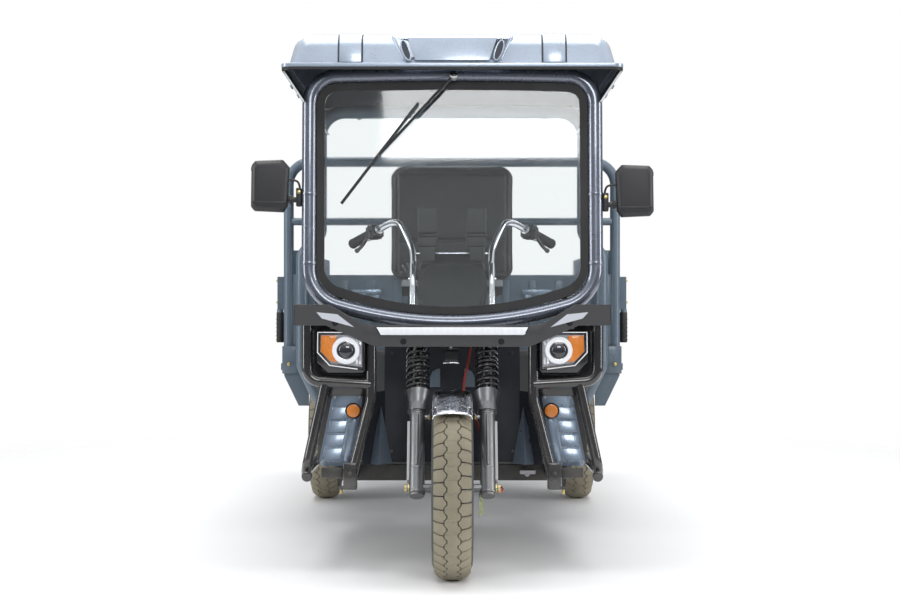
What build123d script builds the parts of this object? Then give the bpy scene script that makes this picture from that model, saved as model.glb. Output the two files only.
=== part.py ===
"""Electric cargo tricycle: one steered front wheel, an open cab under a moulded roof, and a cargo bed
with three drop gates. Millimetres, +Z up, front towards -Y, origin on the floor under the middle."""

import os
from math import cos, radians, sin, tan

from build123d import *

os.makedirs("parts", exist_ok=True)

# Overall size and wheels
wheelbase = 2245
rear_overhang = 1023
wheel_radius = 282
overall_length = wheel_radius + wheelbase + rear_overhang
tyre_width = 128
rear_track = 1100
bead_radius = 152
bead_half = 44
tread_half = 54
shoulder_drop = 14
bulge_radius = 215
bulge_height = 24
tyre_facets = 72
disc_hole_count = 8
disc_hole_radius = 11
seat_gap = 0.3
front_axle_y = wheel_radius - overall_length / 2
rear_axle_y = front_axle_y + wheelbase
rear_end_y = overall_length / 2

# Steering head and fork
rake = 30
fork_offset = 50
leg_spread = 111
leg_radius = 22.5
cone_radius = 31.5
spring_radius = 30
spring_wire = 11
upper_tube_radius = 16
cone_start = 262
cone_end = 333
lower_crown_at = 540
crown_thick = 25
upper_crown_at = 710
head_radius = 30
stem_radius = 17
axle_radius = 7
axle_reach = 150
mudguard_gap = 19
mudguard_thick = 3
mudguard_width = 121
steer_y = front_axle_y + fork_offset * cos(radians(rake))
steer_z = wheel_radius - fork_offset * sin(radians(rake))
steer_plane = Plane(
    origin=(0, steer_y, steer_z), x_dir=(1, 0, 0), z_dir=(0, sin(radians(rake)), cos(radians(rake)))
)

# Handlebar and console
riser_x = 151
bar_diameter = 25
grip_x = 349
grip_y = front_axle_y + 750
grip_z = 1068
grip_length = 118
grip_diameter = 34
bar_top_z = 1131
console_half = 136

# Cab
cab_floor_z = 330
floor_thick = 5
floor_half = 450
hoop_y = front_axle_y + 158
hoop_low_z = 826
hoop_rise = 54
hoop_half = 460
hoop_top_z = 1596
hoop_arch = 8
hoop_tube = 48
hoop_lean = 3.5
rubber_width = 25
rubber_depth = 18
glass_thick = 5
upright_tube = 32
rear_hoop_y = front_axle_y + 1330
rear_hoop_tube = 50
rear_post_x = 510
rear_elbow_x = 580
rear_foot_x = 505

# Roof
roof_front_y = front_axle_y + 100
roof_length = 1280
roof_half = 545
roof_lip_z = 1608
roof_height = 112
roof_wall = 6
roof_corner = 42
roof_shoulder = 60
scoop_half = 190
scoop_rise = 16
scoop_length = 700
edge_strip = 12
edge_strip_high = 8
skirt_low_x = 481
skirt_low_z = 1504
skirt_thick = 10
skirt_flange = 8

# Bumper, lamps and guards
bumper_y = front_axle_y + 85
bumper_thick = 8
bumper_half = 502
bumper_hole_inner = 155
bumper_hole_outer = 371
bumper_hole_radius = 6
strip_half = 240
strip_low_z = 752
lamp_low_z = 635
lamp_high_z = 768
guard_tube = 36
guard_run_z = 290
side_bar_z = 316
shield_low_z = 334
shield_high_z = 569
shield_thick = 4
louvre_count = 4
louvre_depth = 12
well_half = 225
well_thick = 4
well_low_y = front_axle_y + 305
well_high_y = front_axle_y + 393
well_high_z = 715

# Chassis frame and rear axle: the rails run inside the rear wheels
rail_inset = 180
rail_width = 50
rail_high_z = 600
rail_depth = 80
rail_low_depth = 60
rail_kick_y = front_axle_y + 1433
rail_kick_run = 150
rail_kick_lag = 40
rail_front_y = front_axle_y + 425
beam_width = 50
beam_high_z = 314
axle_tube_radius = 28
spindle_radius = 14
spring_half_length = 450
spring_width = 50
spring_pack = 24
rail_x = rear_track / 2 - rail_inset
upright_x = rail_x
lamp_inner_x = upright_x - 90
lamp_outer_x = upright_x + 60
shield_inner_x = upright_x - 79
shield_outer_x = upright_x + 63
side_bar_x = upright_x + 97

# Cargo bed
bed_front_y = front_axle_y + 1396
bed_floor_z = 700
bed_half = 598
bed_sheet = 4
post_tube = 39
post_top_z = 1410
mid_bar_z = 1176
mid_bar_tube = 30
headboard_half = bed_half + 10
headboard_thick = 25
headboard_high_z = 966
gate_inner_x = bed_half + 4
gate_thick = 30
gate_low_z = 706
gate_high_z = 966
board_high_z = 1065
board_count = 4
board_gap = 54
gate_clear = 7
hinge_x = gate_inner_x + gate_thick + 23
hinge_z = 672
hinge_pin = 5
hinge_barrel = 8
hinge_lug = 44
hinge_ear = 6
hinge_offset_y = 10
latch_depth = 58
post_x = bed_half + 42.5
corner_half = post_x + 28.5
bed_back_y = rear_end_y - 60

# Seat
seat_y = front_axle_y + 950
seat_half = 280
seat_low_z = 680
cushion_thick = 100
cushion_half = 250
box_sheet = 4
back_half = 245
back_low_z = 930
back_high_z = 1390
back_thick = 70
battery_half = 230
battery_high = 230


def block(x0, x1, y0, y1, z0, z1, mode=Mode.ADD):
    """An upright box between two corners."""
    with Locations(((x0 + x1) / 2, (y0 + y1) / 2, (z0 + z1) / 2)):
        Box(abs(x1 - x0), abs(y1 - y0), abs(z1 - z0), mode=mode)


def side_plate(points, x0, x1, mode=Mode.ADD):
    """A side view of (y, z) points, as thick as from x0 to x1."""
    with BuildSketch(Plane.YZ.offset(x0)) as profile:
        with BuildLine():
            Polyline(*points, close=True)
        make_face()
    extrude(profile.sketch, amount=x1 - x0, dir=(1, 0, 0), mode=mode)


def front_plate(points, y0, y1, mode=Mode.ADD):
    """A front view of (x, z) points, as thick as from y0 to y1."""
    with BuildSketch(Plane.XZ.offset(-y0)) as profile:
        with BuildLine():
            Polyline(*points, close=True)
        make_face()
    extrude(profile.sketch, amount=y1 - y0, dir=(0, 1, 0), mode=mode)


def tube(points, diameter, bend, mode=Mode.ADD):
    """A round bar on straight runs joined by tangent arcs."""
    with BuildLine() as path:
        if len(points) == 2:
            Line(*points)
        else:
            FilletPolyline(*points, radius=bend)
    with BuildSketch(Plane(origin=path.line @ 0, z_dir=path.line % 0)) as section:
        Circle(diameter / 2)
    sweep(section.sketch, path=path.line, mode=mode)


def rod(start, end, radius, mode=Mode.ADD):
    """A straight round bar from one point to another."""
    line = Vector(*end) - Vector(*start)
    with BuildSketch(Plane(origin=start, z_dir=line)) as section:
        Circle(radius)
    extrude(section.sketch, amount=line.length, dir=line, mode=mode)


def steer_rod(x, back, low, high, radius, mode=Mode.ADD):
    """A round bar along the steering axis, placed by its distances from that axis."""
    with BuildSketch(steer_plane.offset(low)) as section:
        with Locations((x, back)):
            Circle(radius)
    extrude(section.sketch, amount=high - low, mode=mode)


def steer_point(x, back, along):
    """A point given by its distances from the steering axis and along it."""
    return steer_plane.from_local_coords(Vector(x, back, along))


def save(piece, name):
    """Name a finished piece and write it."""
    piece.part.label = name
    export_step(piece.part, f"parts/{name}.step")


def facet_ring(x, y, profile):
    """A many-sided ring about an axle, in flat facets, from a closed profile of (along, radius)."""

    def corner(point, turn):
        along, radius = point
        return (x + along, y + radius * cos(turn), wheel_radius + radius * sin(turn))

    turns = [radians(360 * index / tyre_facets) for index in range(tyre_facets + 1)]
    facets = []
    for near, far in zip(profile, profile[1:] + profile[:1]):
        for start, end in zip(turns, turns[1:]):
            corners = (corner(near, start), corner(far, start), corner(far, end), corner(near, end))
            facets.append(Face(Wire.make_polygon(corners)))
    return Solid(Shell(facets))


def make_tyre(name, x, y):
    """A tyre with a crowned tread and bulged sidewalls, in flat facets so that it stays light."""
    # From the middle out to one side: distance from the middle, radius
    half_profile = (
        (tread_half / 2, wheel_radius),
        (tread_half, wheel_radius - shoulder_drop),
        (tyre_width / 2, bulge_radius + bulge_height / 2),
        (tyre_width / 2, bulge_radius - bulge_height / 2),
        (bead_half, bead_radius),
    )
    other_half = tuple((-along, radius) for along, radius in reversed(half_profile))
    with BuildPart() as tyre:
        add(facet_ring(x, y, half_profile + other_half))
    save(tyre, name)


# Bands of a pressed wheel about its axle: outwards from, to, inner radius, outer radius
bead_flat = bead_radius * cos(radians(180 / tyre_facets))
barrel_inner = bead_radius - 12
lip_radius = bead_radius + 9
lip_from = bead_half + 9
lip_to = lip_from + 5
drum_radius = 106
hub_radius = 34
disc_from = 8
disc_to = 15
hub_in = -58
hub_out = 45


def make_rim(name, x, y, side, bore):
    """A pressed steel wheel with its hub and brake drum, the drum on the inner side."""
    bands = (
        (-lip_from, lip_from, barrel_inner, bead_flat - seat_gap),
        (-lip_to, -lip_from, barrel_inner, lip_radius),
        (lip_from, lip_to, barrel_inner, lip_radius),
        (disc_from, disc_to, hub_radius - 1, barrel_inner + 1),
        (hub_in, hub_out, bore, hub_radius),
        (-52, -12, hub_radius - 1, drum_radius),
    )
    with BuildPart() as rim:
        with BuildSketch(Plane(origin=(x, y, wheel_radius), x_dir=(1, 0, 0), z_dir=(0, -1, 0))):
            for start, end, inner, outer in bands:
                with Locations((side * (start + end) / 2, (inner + outer) / 2)):
                    Rectangle(end - start, outer - inner)
        revolve(axis=Axis((x, y, wheel_radius), (1, 0, 0)))
        disc_middle = x + side * (disc_from + disc_to) / 2
        ring = (drum_radius + barrel_inner) / 2
        with Locations(Plane(origin=(disc_middle, y, wheel_radius), x_dir=(0, 1, 0), z_dir=(1, 0, 0))):
            with PolarLocations(ring, disc_hole_count):
                Cylinder(disc_hole_radius, 2 * (disc_to - disc_from), mode=Mode.SUBTRACT)
    save(rim, name)


make_tyre("front_tyre", 0, front_axle_y)
make_rim("front_rim", 0, front_axle_y, -1, axle_radius + seat_gap)
for side, name in ((1, "left"), (-1, "right")):
    make_tyre(f"rear_tyre_{name}", side * rear_track / 2, rear_axle_y)
    make_rim(f"rear_rim_{name}", side * rear_track / 2, rear_axle_y, side, spindle_radius + seat_gap)

# Fork: legs, cones, crowns, stem and wheel axle
crown_front = fork_offset + cone_radius
crown_back = 36
upper_crown_top = upper_crown_at + crown_thick
with BuildPart() as fork:
    for x in (-leg_spread, leg_spread):
        steer_rod(x, -fork_offset, -28, cone_start + 1, leg_radius)
        steer_rod(x, -fork_offset, cone_start, cone_end, cone_radius)
        steer_rod(x, -fork_offset, cone_end - 1, upper_crown_top, upper_tube_radius)
    steer_rod(0, 0, lower_crown_at, upper_crown_top, stem_radius)
    # Crowns: height along the axis, half width
    for height, half in ((lower_crown_at, leg_spread + 32), (upper_crown_at, riser_x + 16)):
        with BuildSketch(steer_plane.offset(height)):
            with BuildLine():
                Polyline(
                    (-half, -crown_front),
                    (half, -crown_front),
                    (half, -fork_offset + 25),
                    (40, crown_back),
                    (-40, crown_back),
                    (-half, -fork_offset + 25),
                    close=True,
                )
            make_face()
        extrude(amount=crown_thick)
    axle_start = (-axle_reach, front_axle_y, wheel_radius)
    rod(axle_start, (axle_reach, front_axle_y, wheel_radius), axle_radius)
    for side in (-1, 1):
        rod(
            (side * 59, front_axle_y, wheel_radius),
            (side * (leg_spread - leg_radius + 3), front_axle_y, wheel_radius),
            13,
        )
        rod(
            (side * (leg_spread + leg_radius - 3), front_axle_y, wheel_radius),
            (side * (leg_spread + leg_radius + 9), front_axle_y, wheel_radius),
            13,
        )
save(fork, "fork")

# Fork springs: a stack of turns round each leg
spring_turns = 9
spring_pitch = (lower_crown_at - cone_end) / spring_turns
with BuildPart() as springs:
    for x in (-leg_spread, leg_spread):
        steer_rod(x, -fork_offset, cone_end, lower_crown_at, spring_radius - spring_wire / 2)
        for turn in range(spring_turns):
            middle = cone_end + (turn + 0.5) * spring_pitch
            steer_rod(x, -fork_offset, middle - spring_wire / 2, middle + spring_wire / 2, spring_radius)
        steer_rod(
            x, -fork_offset, cone_end, lower_crown_at, upper_tube_radius + seat_gap, mode=Mode.SUBTRACT
        )
save(springs, "fork_springs")

# Front mudguard: an arc over the wheel with the bridge that holds it between the legs
guard_inner = wheel_radius + mudguard_gap
bridge_half = leg_spread - cone_radius - seat_gap
bridge_low = guard_inner + mudguard_thick - 1
with BuildPart() as mudguard:
    with BuildSketch(Plane.YZ.offset(-mudguard_width / 2)):
        with Locations((front_axle_y, wheel_radius)):
            Circle(guard_inner + mudguard_thick)
            Circle(guard_inner, mode=Mode.SUBTRACT)
        reach = 2 * guard_inner
        with BuildLine():
            Polyline(
                (front_axle_y, wheel_radius),
                (front_axle_y - reach * sin(radians(37)), wheel_radius + reach * cos(radians(37))),
                (front_axle_y, wheel_radius + 2 * reach),
                (front_axle_y + reach * sin(radians(70)), wheel_radius + reach * cos(radians(70))),
                close=True,
            )
        make_face(mode=Mode.INTERSECT)
    extrude(amount=mudguard_width)
    with BuildSketch(steer_plane.offset(bridge_low)):
        with Locations((0, -fork_offset)):
            Rectangle(2 * bridge_half, 24)
    extrude(amount=7)
save(mudguard, "front_mudguard")

# Brake cable: from the lower crown, behind the mudguard, down the back of one leg to a block on it
cable_diameter = 8
cable_back = leg_radius + cable_diameter + seat_gap - fork_offset
cable_route = (
    (60, -24, lower_crown_at - seat_gap),
    (59, -20, 505),
    (50, -12, 450),
    (38, -4, 400),
    (37, 8, 352),
    (60, 18, 318),
    (76, 12, 268),
    (89, -2, 222),
    (100, -14, 168),
    (leg_spread - 4, cable_back, 112),
    (leg_spread - 1, cable_back, 62),
    (leg_spread, cable_back, 20),
)


def corner_radii(points):
    """The largest even arcs that a route's runs leave room for."""
    radii = []
    for before, corner, after in zip(points, points[1:], points[2:]):
        arriving = Vector(*corner) - Vector(*before)
        leaving = Vector(*after) - Vector(*corner)
        turn = arriving.get_angle(leaving)
        radii.append(0.45 * min(arriving.length, leaving.length) / tan(radians(turn / 2)))
    return radii


cable_points = [tuple(steer_point(*place)) for place in cable_route]
cable_radii = corner_radii(cable_points)
print("brake cable radii", [round(radius) for radius in cable_radii])
with BuildPart() as brake_cable:
    with BuildLine() as cable_line:
        FilletPolyline(*cable_points, radius=cable_radii)
    with BuildSketch(Plane(origin=cable_line.line @ 0, z_dir=cable_line.line % 0)):
        Circle(cable_diameter / 2)
    sweep(path=cable_line.line)
    steer_rod(leg_spread, cable_back, 6, 24, cable_diameter)
save(brake_cable, "brake_cable")
print("brake cable", round(cable_line.wires()[0].length), "mm long")

# Handlebar: two risers beside the console and swept ends
riser_back = -20
riser_foot = steer_point(riser_x, riser_back, upper_crown_top + seat_gap)
riser_top_at = (bar_top_z - steer_z + riser_back * sin(radians(rake))) / cos(radians(rake))
riser_high = steer_point(riser_x, riser_back, riser_top_at)
with BuildPart() as handlebar:
    for side in (-1, 1):
        bar_path = (
            (side * riser_x, riser_foot.Y, riser_foot.Z),
            (side * riser_x, riser_high.Y, bar_top_z),
            (side * (riser_x + 62), riser_high.Y + 40, bar_top_z),
            (side * grip_x, grip_y, grip_z),
        )
        tube(bar_path, bar_diameter, (28, 60))
    brace_z = bar_top_z - 30
    brace_share = (brace_z - riser_foot.Z) / (bar_top_z - riser_foot.Z)
    brace_y = riser_foot.Y + brace_share * (riser_high.Y - riser_foot.Y)
    rod((-riser_x, brace_y, brace_z), (riser_x, brace_y, brace_z), 9)
save(handlebar, "handlebar")

# Console: a rounded case on the upper crown, between the risers
case_points = (
    steer_point(0, -93, 610),
    steer_point(0, -crown_front - 4, 612),
    steer_point(0, -crown_front - 4, upper_crown_top + seat_gap),
    steer_point(0, crown_back, upper_crown_top + seat_gap),
    steer_point(0, crown_back + 4, upper_crown_top + 70),
    steer_point(0, -30, upper_crown_top + 118),
    steer_point(0, -90, upper_crown_top + 60),
)
with BuildPart() as console:
    side_plate([(point.Y, point.Z) for point in case_points], -console_half, console_half)
    fillet(console.edges().filter_by(Axis.X).sort_by(Axis.Z)[-1], 18)
save(console, "console")

# Chassis frame: rails, cross members, backbone, head, uprights and outriggers
rail_low_z = rail_high_z - rail_depth
rail_side = (
    (bed_back_y, rail_high_z),
    (rail_kick_y, rail_high_z),
    (rail_kick_y - rail_kick_run, cab_floor_z),
    (rail_front_y, cab_floor_z),
    (rail_front_y, cab_floor_z - rail_low_depth),
    (rail_kick_y - rail_kick_run + rail_kick_lag, cab_floor_z - rail_low_depth),
    (rail_kick_y + rail_kick_lag, rail_low_z),
    (bed_back_y, rail_low_z),
)
foot_z = 400
upright_y = hoop_y + (hoop_tube + upright_tube) / 2 + seat_gap + 2
hanger_z = 490
eye_radius = 14
with BuildPart() as frame:
    for side in (-1, 1):
        side_plate(rail_side, side * (rail_x - rail_width / 2), side * (rail_x + rail_width / 2))
        # Outrigger under the rear hoop's foot, and two for the side bar
        block(
            side * rail_x,
            side * (rear_foot_x + 35),
            rear_hoop_y - 30,
            rear_hoop_y + 30,
            foot_z - 40,
            foot_z,
        )
        # Spring hangers
        for y in (rear_axle_y - spring_half_length, rear_axle_y + spring_half_length):
            block(
                side * (rail_x - 20),
                side * (rail_x + 20),
                y - 22,
                y + 22,
                hanger_z + eye_radius + seat_gap,
                rail_low_z + 1,
            )
    # Cross members: y, low z, high z
    members = (
        (rail_front_y + beam_width / 2, 262, beam_high_z),
        (seat_y - 40, 275, cab_floor_z),
        (rail_kick_y - rail_kick_run - 40, 275, cab_floor_z),
        (rail_kick_y + 160, rail_low_z, rail_high_z),
        (rear_axle_y - 250, rail_low_z + 20, rail_high_z),
        (rear_axle_y + 560, rail_low_z + 20, rail_high_z),
        (bed_back_y - beam_width / 2, rail_low_z, rail_high_z),
    )
    for y, low, high in members:
        block(-rail_x, rail_x, y - beam_width / 2, y + beam_width / 2, low, high)
    # Outriggers that carry the side bars
    for y in (rail_front_y + 130, seat_y - 40):
        for side in (-1, 1):
            tip_x = side_bar_x - guard_tube / 2 + 1
            block(side * rail_x, side * tip_x, y - 20, y + 20, side_bar_z - 12, cab_floor_z - 2)
save(frame, "chassis_frame")

# Uprights that carry the hoop, lamps and bumper, welded to the rails' front ends
with BuildPart() as uprights:
    for side in (-1, 1):
        tube(
            (
                (side * upright_x, rail_front_y, cab_floor_z - rail_low_depth / 2),
                (side * upright_x, upright_y, cab_floor_z - rail_low_depth / 2),
                (side * upright_x, upright_y, hoop_low_z + hoop_rise),
            ),
            upright_tube,
            60,
        )
save(uprights, "front_uprights")

# Steering head and its backbone, standing on the front cross member
with BuildPart() as steering_head:
    head_low = steer_point(0, 22, lower_crown_at + crown_thick + 25)
    head_high = steer_point(0, 22, upper_crown_at - 10)
    side_plate(
        (
            (head_low.Y, head_low.Z),
            (head_high.Y, head_high.Z),
            (head_high.Y + 75, head_high.Z - 60),
            (rail_front_y + beam_width, beam_high_z),
            (rail_front_y, beam_high_z),
            (rail_front_y - 15, well_high_z + 20),
        ),
        -22,
        22,
    )
    steer_rod(0, 0, lower_crown_at + crown_thick + 3, upper_crown_at - 3, head_radius)
    steer_rod(0, 0, lower_crown_at, upper_crown_top, stem_radius + seat_gap, mode=Mode.SUBTRACT)
save(steering_head, "steering_head")

# Cab floor: a sheet on the rails, notched round the backbone
with BuildPart() as cab_floor:
    floor_low = cab_floor_z + seat_gap
    floor_back_y = rail_kick_y - rail_kick_run - 4
    block(-floor_half, floor_half, well_low_y - 8, floor_back_y, floor_low, floor_low + floor_thick)
    block(-26, 26, rail_front_y - 8, rail_front_y + beam_width + 8, 300, 400, mode=Mode.SUBTRACT)
save(cab_floor, "cab_floor")

# Wheel well: a sloped back wall and two slanted sides
well_low_z = cab_floor_z + seat_gap + floor_thick + seat_gap
shield_y = upright_y - upright_tube / 2 - seat_gap
with BuildPart() as wheel_well:
    side_plate(
        (
            (well_low_y, well_low_z),
            (well_low_y + well_thick, well_low_z),
            (well_high_y + well_thick, well_high_z),
            (well_high_y, well_high_z),
        ),
        -well_half,
        well_half,
    )
    for side in (-1, 1):
        with BuildSketch(Plane.XY.offset(well_low_z)):
            with BuildLine():
                Polyline(
                    (side * (well_half - well_thick), well_low_y + 6),
                    (side * (shield_inner_x - 4), shield_y - shield_thick),
                    (side * shield_inner_x - side * seat_gap, shield_y - shield_thick),
                    (side * well_half, well_low_y + 6),
                    close=True,
                )
            make_face()
        extrude(amount=shield_high_z - well_low_z)
save(wheel_well, "wheel_well")

# Leg shields: pressed panels with four louvre steps
louvre_pitch = (shield_high_z - shield_low_z - 40) / louvre_count
with BuildPart() as leg_shields:
    for side in (-1, 1):
        shield_side = [(shield_y, shield_low_z), (shield_y - shield_thick, shield_low_z)]
        for step in range(louvre_count):
            low = shield_low_z + 20 + step * louvre_pitch
            shield_side.append((shield_y - shield_thick, low))
            shield_side.append((shield_y - shield_thick - louvre_depth, low + 4))
            shield_side.append((shield_y - shield_thick, low + louvre_pitch - 6))
        shield_side.append((shield_y - shield_thick, shield_high_z))
        shield_side.append((shield_y, shield_high_z))
        side_plate(shield_side, side * shield_inner_x, side * shield_outer_x)
save(leg_shields, "leg_shields")

# Front hoop, its rubber and the glass, all in one plane that leans back
hoop_plane = Plane(
    origin=(0, hoop_y, hoop_low_z),
    x_dir=(1, 0, 0),
    z_dir=(0, -cos(radians(hoop_lean)), sin(radians(hoop_lean))),
)
hoop_height = (hoop_top_z - hoop_low_z) / cos(radians(hoop_lean))
corner_low = 110
corner_high = 90


def hoop_outline(inset):
    """The hoop's centre line as a face, moved inwards by inset."""
    half = hoop_half - inset
    with BuildSketch() as outline:
        with BuildLine():
            ThreePointArc((-half, hoop_rise + inset), (0, inset), (half, hoop_rise + inset))
            Line((half, hoop_rise + inset), (half, hoop_height - hoop_arch - inset))
            ThreePointArc(
                (half, hoop_height - hoop_arch - inset),
                (0, hoop_height - inset),
                (-half, hoop_height - hoop_arch - inset),
            )
            Line((-half, hoop_height - hoop_arch - inset), (-half, hoop_rise + inset))
        make_face()
        fillet(outline.vertices().group_by(Axis.Y)[0], corner_low - inset)
        fillet(outline.vertices().sort_by(Axis.Y)[-2:], corner_high - inset)
    return outline.sketch


hoop_wire = (hoop_plane * hoop_outline(0)).face().outer_wire()
with BuildPart() as front_hoop:
    with BuildSketch(Plane(origin=hoop_wire @ 0, z_dir=hoop_wire % 0)):
        Circle(hoop_tube / 2)
    sweep(path=hoop_wire)
save(front_hoop, "front_hoop")

rubber_outer = hoop_tube / 2 + seat_gap
rubber_inner = rubber_outer + rubber_width
with BuildPart() as rubber:
    with BuildSketch(hoop_plane.offset(-rubber_depth / 2)):
        add(hoop_outline(rubber_outer))
        add(hoop_outline(rubber_inner), mode=Mode.SUBTRACT)
    extrude(amount=rubber_depth)
save(rubber, "windshield_rubber")

with BuildPart() as glass:
    with BuildSketch(hoop_plane.offset(-glass_thick / 2)):
        add(hoop_outline(rubber_inner + seat_gap))
    extrude(amount=glass_thick)
save(glass, "windshield_glass")

# Wiper: a pivot under the roof, an arm, and a blade that lies near the glass
glass_front = rubber_depth / 2 + 6


def hoop_point(x, z, out):
    """A point in front of the hoop's plane, by its place across, its height and its distance."""
    up = (z - hoop_low_z) / cos(radians(hoop_lean))
    return hoop_plane.from_local_coords(Vector(x, up, out))


with BuildPart() as wiper:
    rod(hoop_point(5, hoop_top_z - 10, hoop_tube / 2 + seat_gap), hoop_point(5, hoop_top_z - 10, 52), 13)
    rod(hoop_point(5, hoop_top_z - 10, 44), hoop_point(-235, 1330, glass_front + 14), 5)
    rod(hoop_point(-110, 1500, glass_front), hoop_point(-356, 1176, glass_front), 5)
    rod(hoop_point(-235, 1330, glass_front - 2), hoop_point(-235, 1330, glass_front + 18), 7)
save(wiper, "wiper")

# Mirrors: a housing each on a clamp and arm; side, low z
mirror_inner_x = 524
mirror_outer_x = 647
mirror_height = 168
mirror_depth = 46
mirror_low = ((-1, 1150), (1, 1134))
with BuildPart() as mirrors:
    for side, low in mirror_low:
        clamp_z = low + 40
        centre = hoop_point(side * hoop_half, clamp_z, 0)
        block(
            side * mirror_inner_x,
            side * mirror_outer_x,
            centre.Y - mirror_depth / 2,
            centre.Y + mirror_depth / 2,
            low,
            low + mirror_height,
        )
        rod(
            (side * (hoop_half + hoop_tube / 2 + seat_gap), centre.Y, clamp_z),
            (side * (mirror_inner_x + 5), centre.Y, clamp_z),
            9,
        )
    fillet(mirrors.edges().filter_by(Axis.Y), 14)
save(mirrors, "mirrors")

# Rear hoop behind the seat
hoop_end_z = foot_z + seat_gap
with BuildPart() as rear_hoop:
    with BuildLine() as hoop_line:
        FilletPolyline(
            (-rear_foot_x, rear_hoop_y, hoop_end_z),
            (-rear_foot_x, rear_hoop_y, foot_z + 60),
            (-rear_elbow_x, rear_hoop_y, foot_z + 215),
            (-rear_elbow_x, rear_hoop_y, 1040),
            (-rear_post_x, rear_hoop_y, 1125),
            (-rear_post_x, rear_hoop_y, hoop_top_z),
            (rear_post_x, rear_hoop_y, hoop_top_z),
            (rear_post_x, rear_hoop_y, 1125),
            (rear_elbow_x, rear_hoop_y, 1040),
            (rear_elbow_x, rear_hoop_y, foot_z + 215),
            (rear_foot_x, rear_hoop_y, foot_z + 60),
            (rear_foot_x, rear_hoop_y, hoop_end_z),
            radius=(40, 60, 50, 50, 95, 95, 50, 50, 60, 40),
        )
    with BuildSketch(Plane(origin=hoop_line.line @ 0, z_dir=hoop_line.line % 0)):
        Circle(rear_hoop_tube / 2)
    sweep(path=hoop_line.line)
save(rear_hoop, "rear_hoop")

# Roof: a moulded shell with a raised scoop, on two bearers over the hoops
roof_back_y = roof_front_y + roof_length
roof_middle_y = (roof_front_y + roof_back_y) / 2
bearer_front_y = hoop_plane.from_local_coords(Vector(0, hoop_height, 0)).Y


def roof_form(inset, drop):
    """The roof's outer form, made smaller all round by inset, added to the part being built."""
    with BuildPart() as form:
        with BuildSketch(Plane.XY.offset(roof_lip_z - drop)):
            with Locations((0, roof_middle_y)):
                RectangleRounded(2 * (roof_half - inset), roof_length - 2 * inset, roof_corner - inset)
        extrude(amount=roof_height - inset + drop, taper=8)
        fillet(form.faces().sort_by(Axis.Z)[-1].edges(), roof_shoulder - inset)
        with BuildSketch(Plane.XY.offset(roof_lip_z + roof_height - roof_shoulder)):
            with BuildLine():
                Polyline(
                    (-scoop_half + inset, roof_front_y + 40 + inset),
                    (scoop_half - inset, roof_front_y + 40 + inset),
                    (scoop_half - 60 - inset, roof_front_y + scoop_length - inset),
                    (-scoop_half + 60 + inset, roof_front_y + scoop_length - inset),
                    close=True,
                )
            make_face()
        extrude(amount=roof_shoulder + scoop_rise - inset)
    return form.part


roof_outer = roof_form(0, 0)
roof_inner = roof_form(roof_wall, 1)

# Side skirt, seen from the front: it hangs from inside the rim and slopes in, past the edge strip
strip_inner_x = roof_half - edge_strip - seat_gap
strip_under_z = roof_lip_z - edge_strip_high - 2 * seat_gap
skirt_outline = (
    (roof_half, strip_under_z),
    (skirt_low_x, skirt_low_z),
    (skirt_low_x - skirt_thick, skirt_low_z),
    (strip_inner_x - skirt_thick, strip_under_z - skirt_thick),
    (strip_inner_x - skirt_thick, roof_lip_z + skirt_flange),
    (roof_half - roof_wall + 1, roof_lip_z + skirt_flange),
    (roof_half - roof_wall + 1, roof_lip_z),
    (strip_inner_x, roof_lip_z),
    (strip_inner_x, strip_under_z),
)
skirt_front_y = roof_front_y + roof_corner
skirt_back_y = rear_hoop_y - rear_hoop_tube / 2 - 7
hoop_notch = hoop_tube / 2 + 3
with BuildPart() as roof:
    add(roof_outer)
    add(roof_inner, mode=Mode.SUBTRACT)
    for y, tube_size in ((bearer_front_y, hoop_tube), (rear_hoop_y, rear_hoop_tube)):
        block(
            -roof_half + 80,
            roof_half - 80,
            y - 20,
            y + 20,
            hoop_top_z + tube_size / 2 + seat_gap,
            roof_lip_z + roof_height - roof_wall + 2,
        )
    for side in (-1, 1):
        outline = [(side * x, z) for x, z in skirt_outline]
        front_plate(outline, skirt_front_y, skirt_back_y)
        block(
            side * (skirt_low_x - skirt_thick - 1),
            side * (hoop_half + hoop_notch),
            bearer_front_y - 2 * hoop_notch,
            bearer_front_y + hoop_notch,
            skirt_low_z - 1,
            hoop_top_z,
            Mode.SUBTRACT,
        )
save(roof, "roof_shell")

# Roof edge rubber: a strip under the shell's rim
with BuildPart() as roof_rubber:
    with BuildSketch(Plane.XY.offset(roof_lip_z - edge_strip_high - seat_gap)):
        with Locations((0, roof_middle_y)):
            RectangleRounded(2 * roof_half, roof_length, roof_corner)
            RectangleRounded(
                2 * (roof_half - edge_strip),
                roof_length - 2 * edge_strip,
                roof_corner - edge_strip,
                mode=Mode.SUBTRACT,
            )
    extrude(amount=edge_strip_high)
save(roof_rubber, "roof_edge_rubber")

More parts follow.
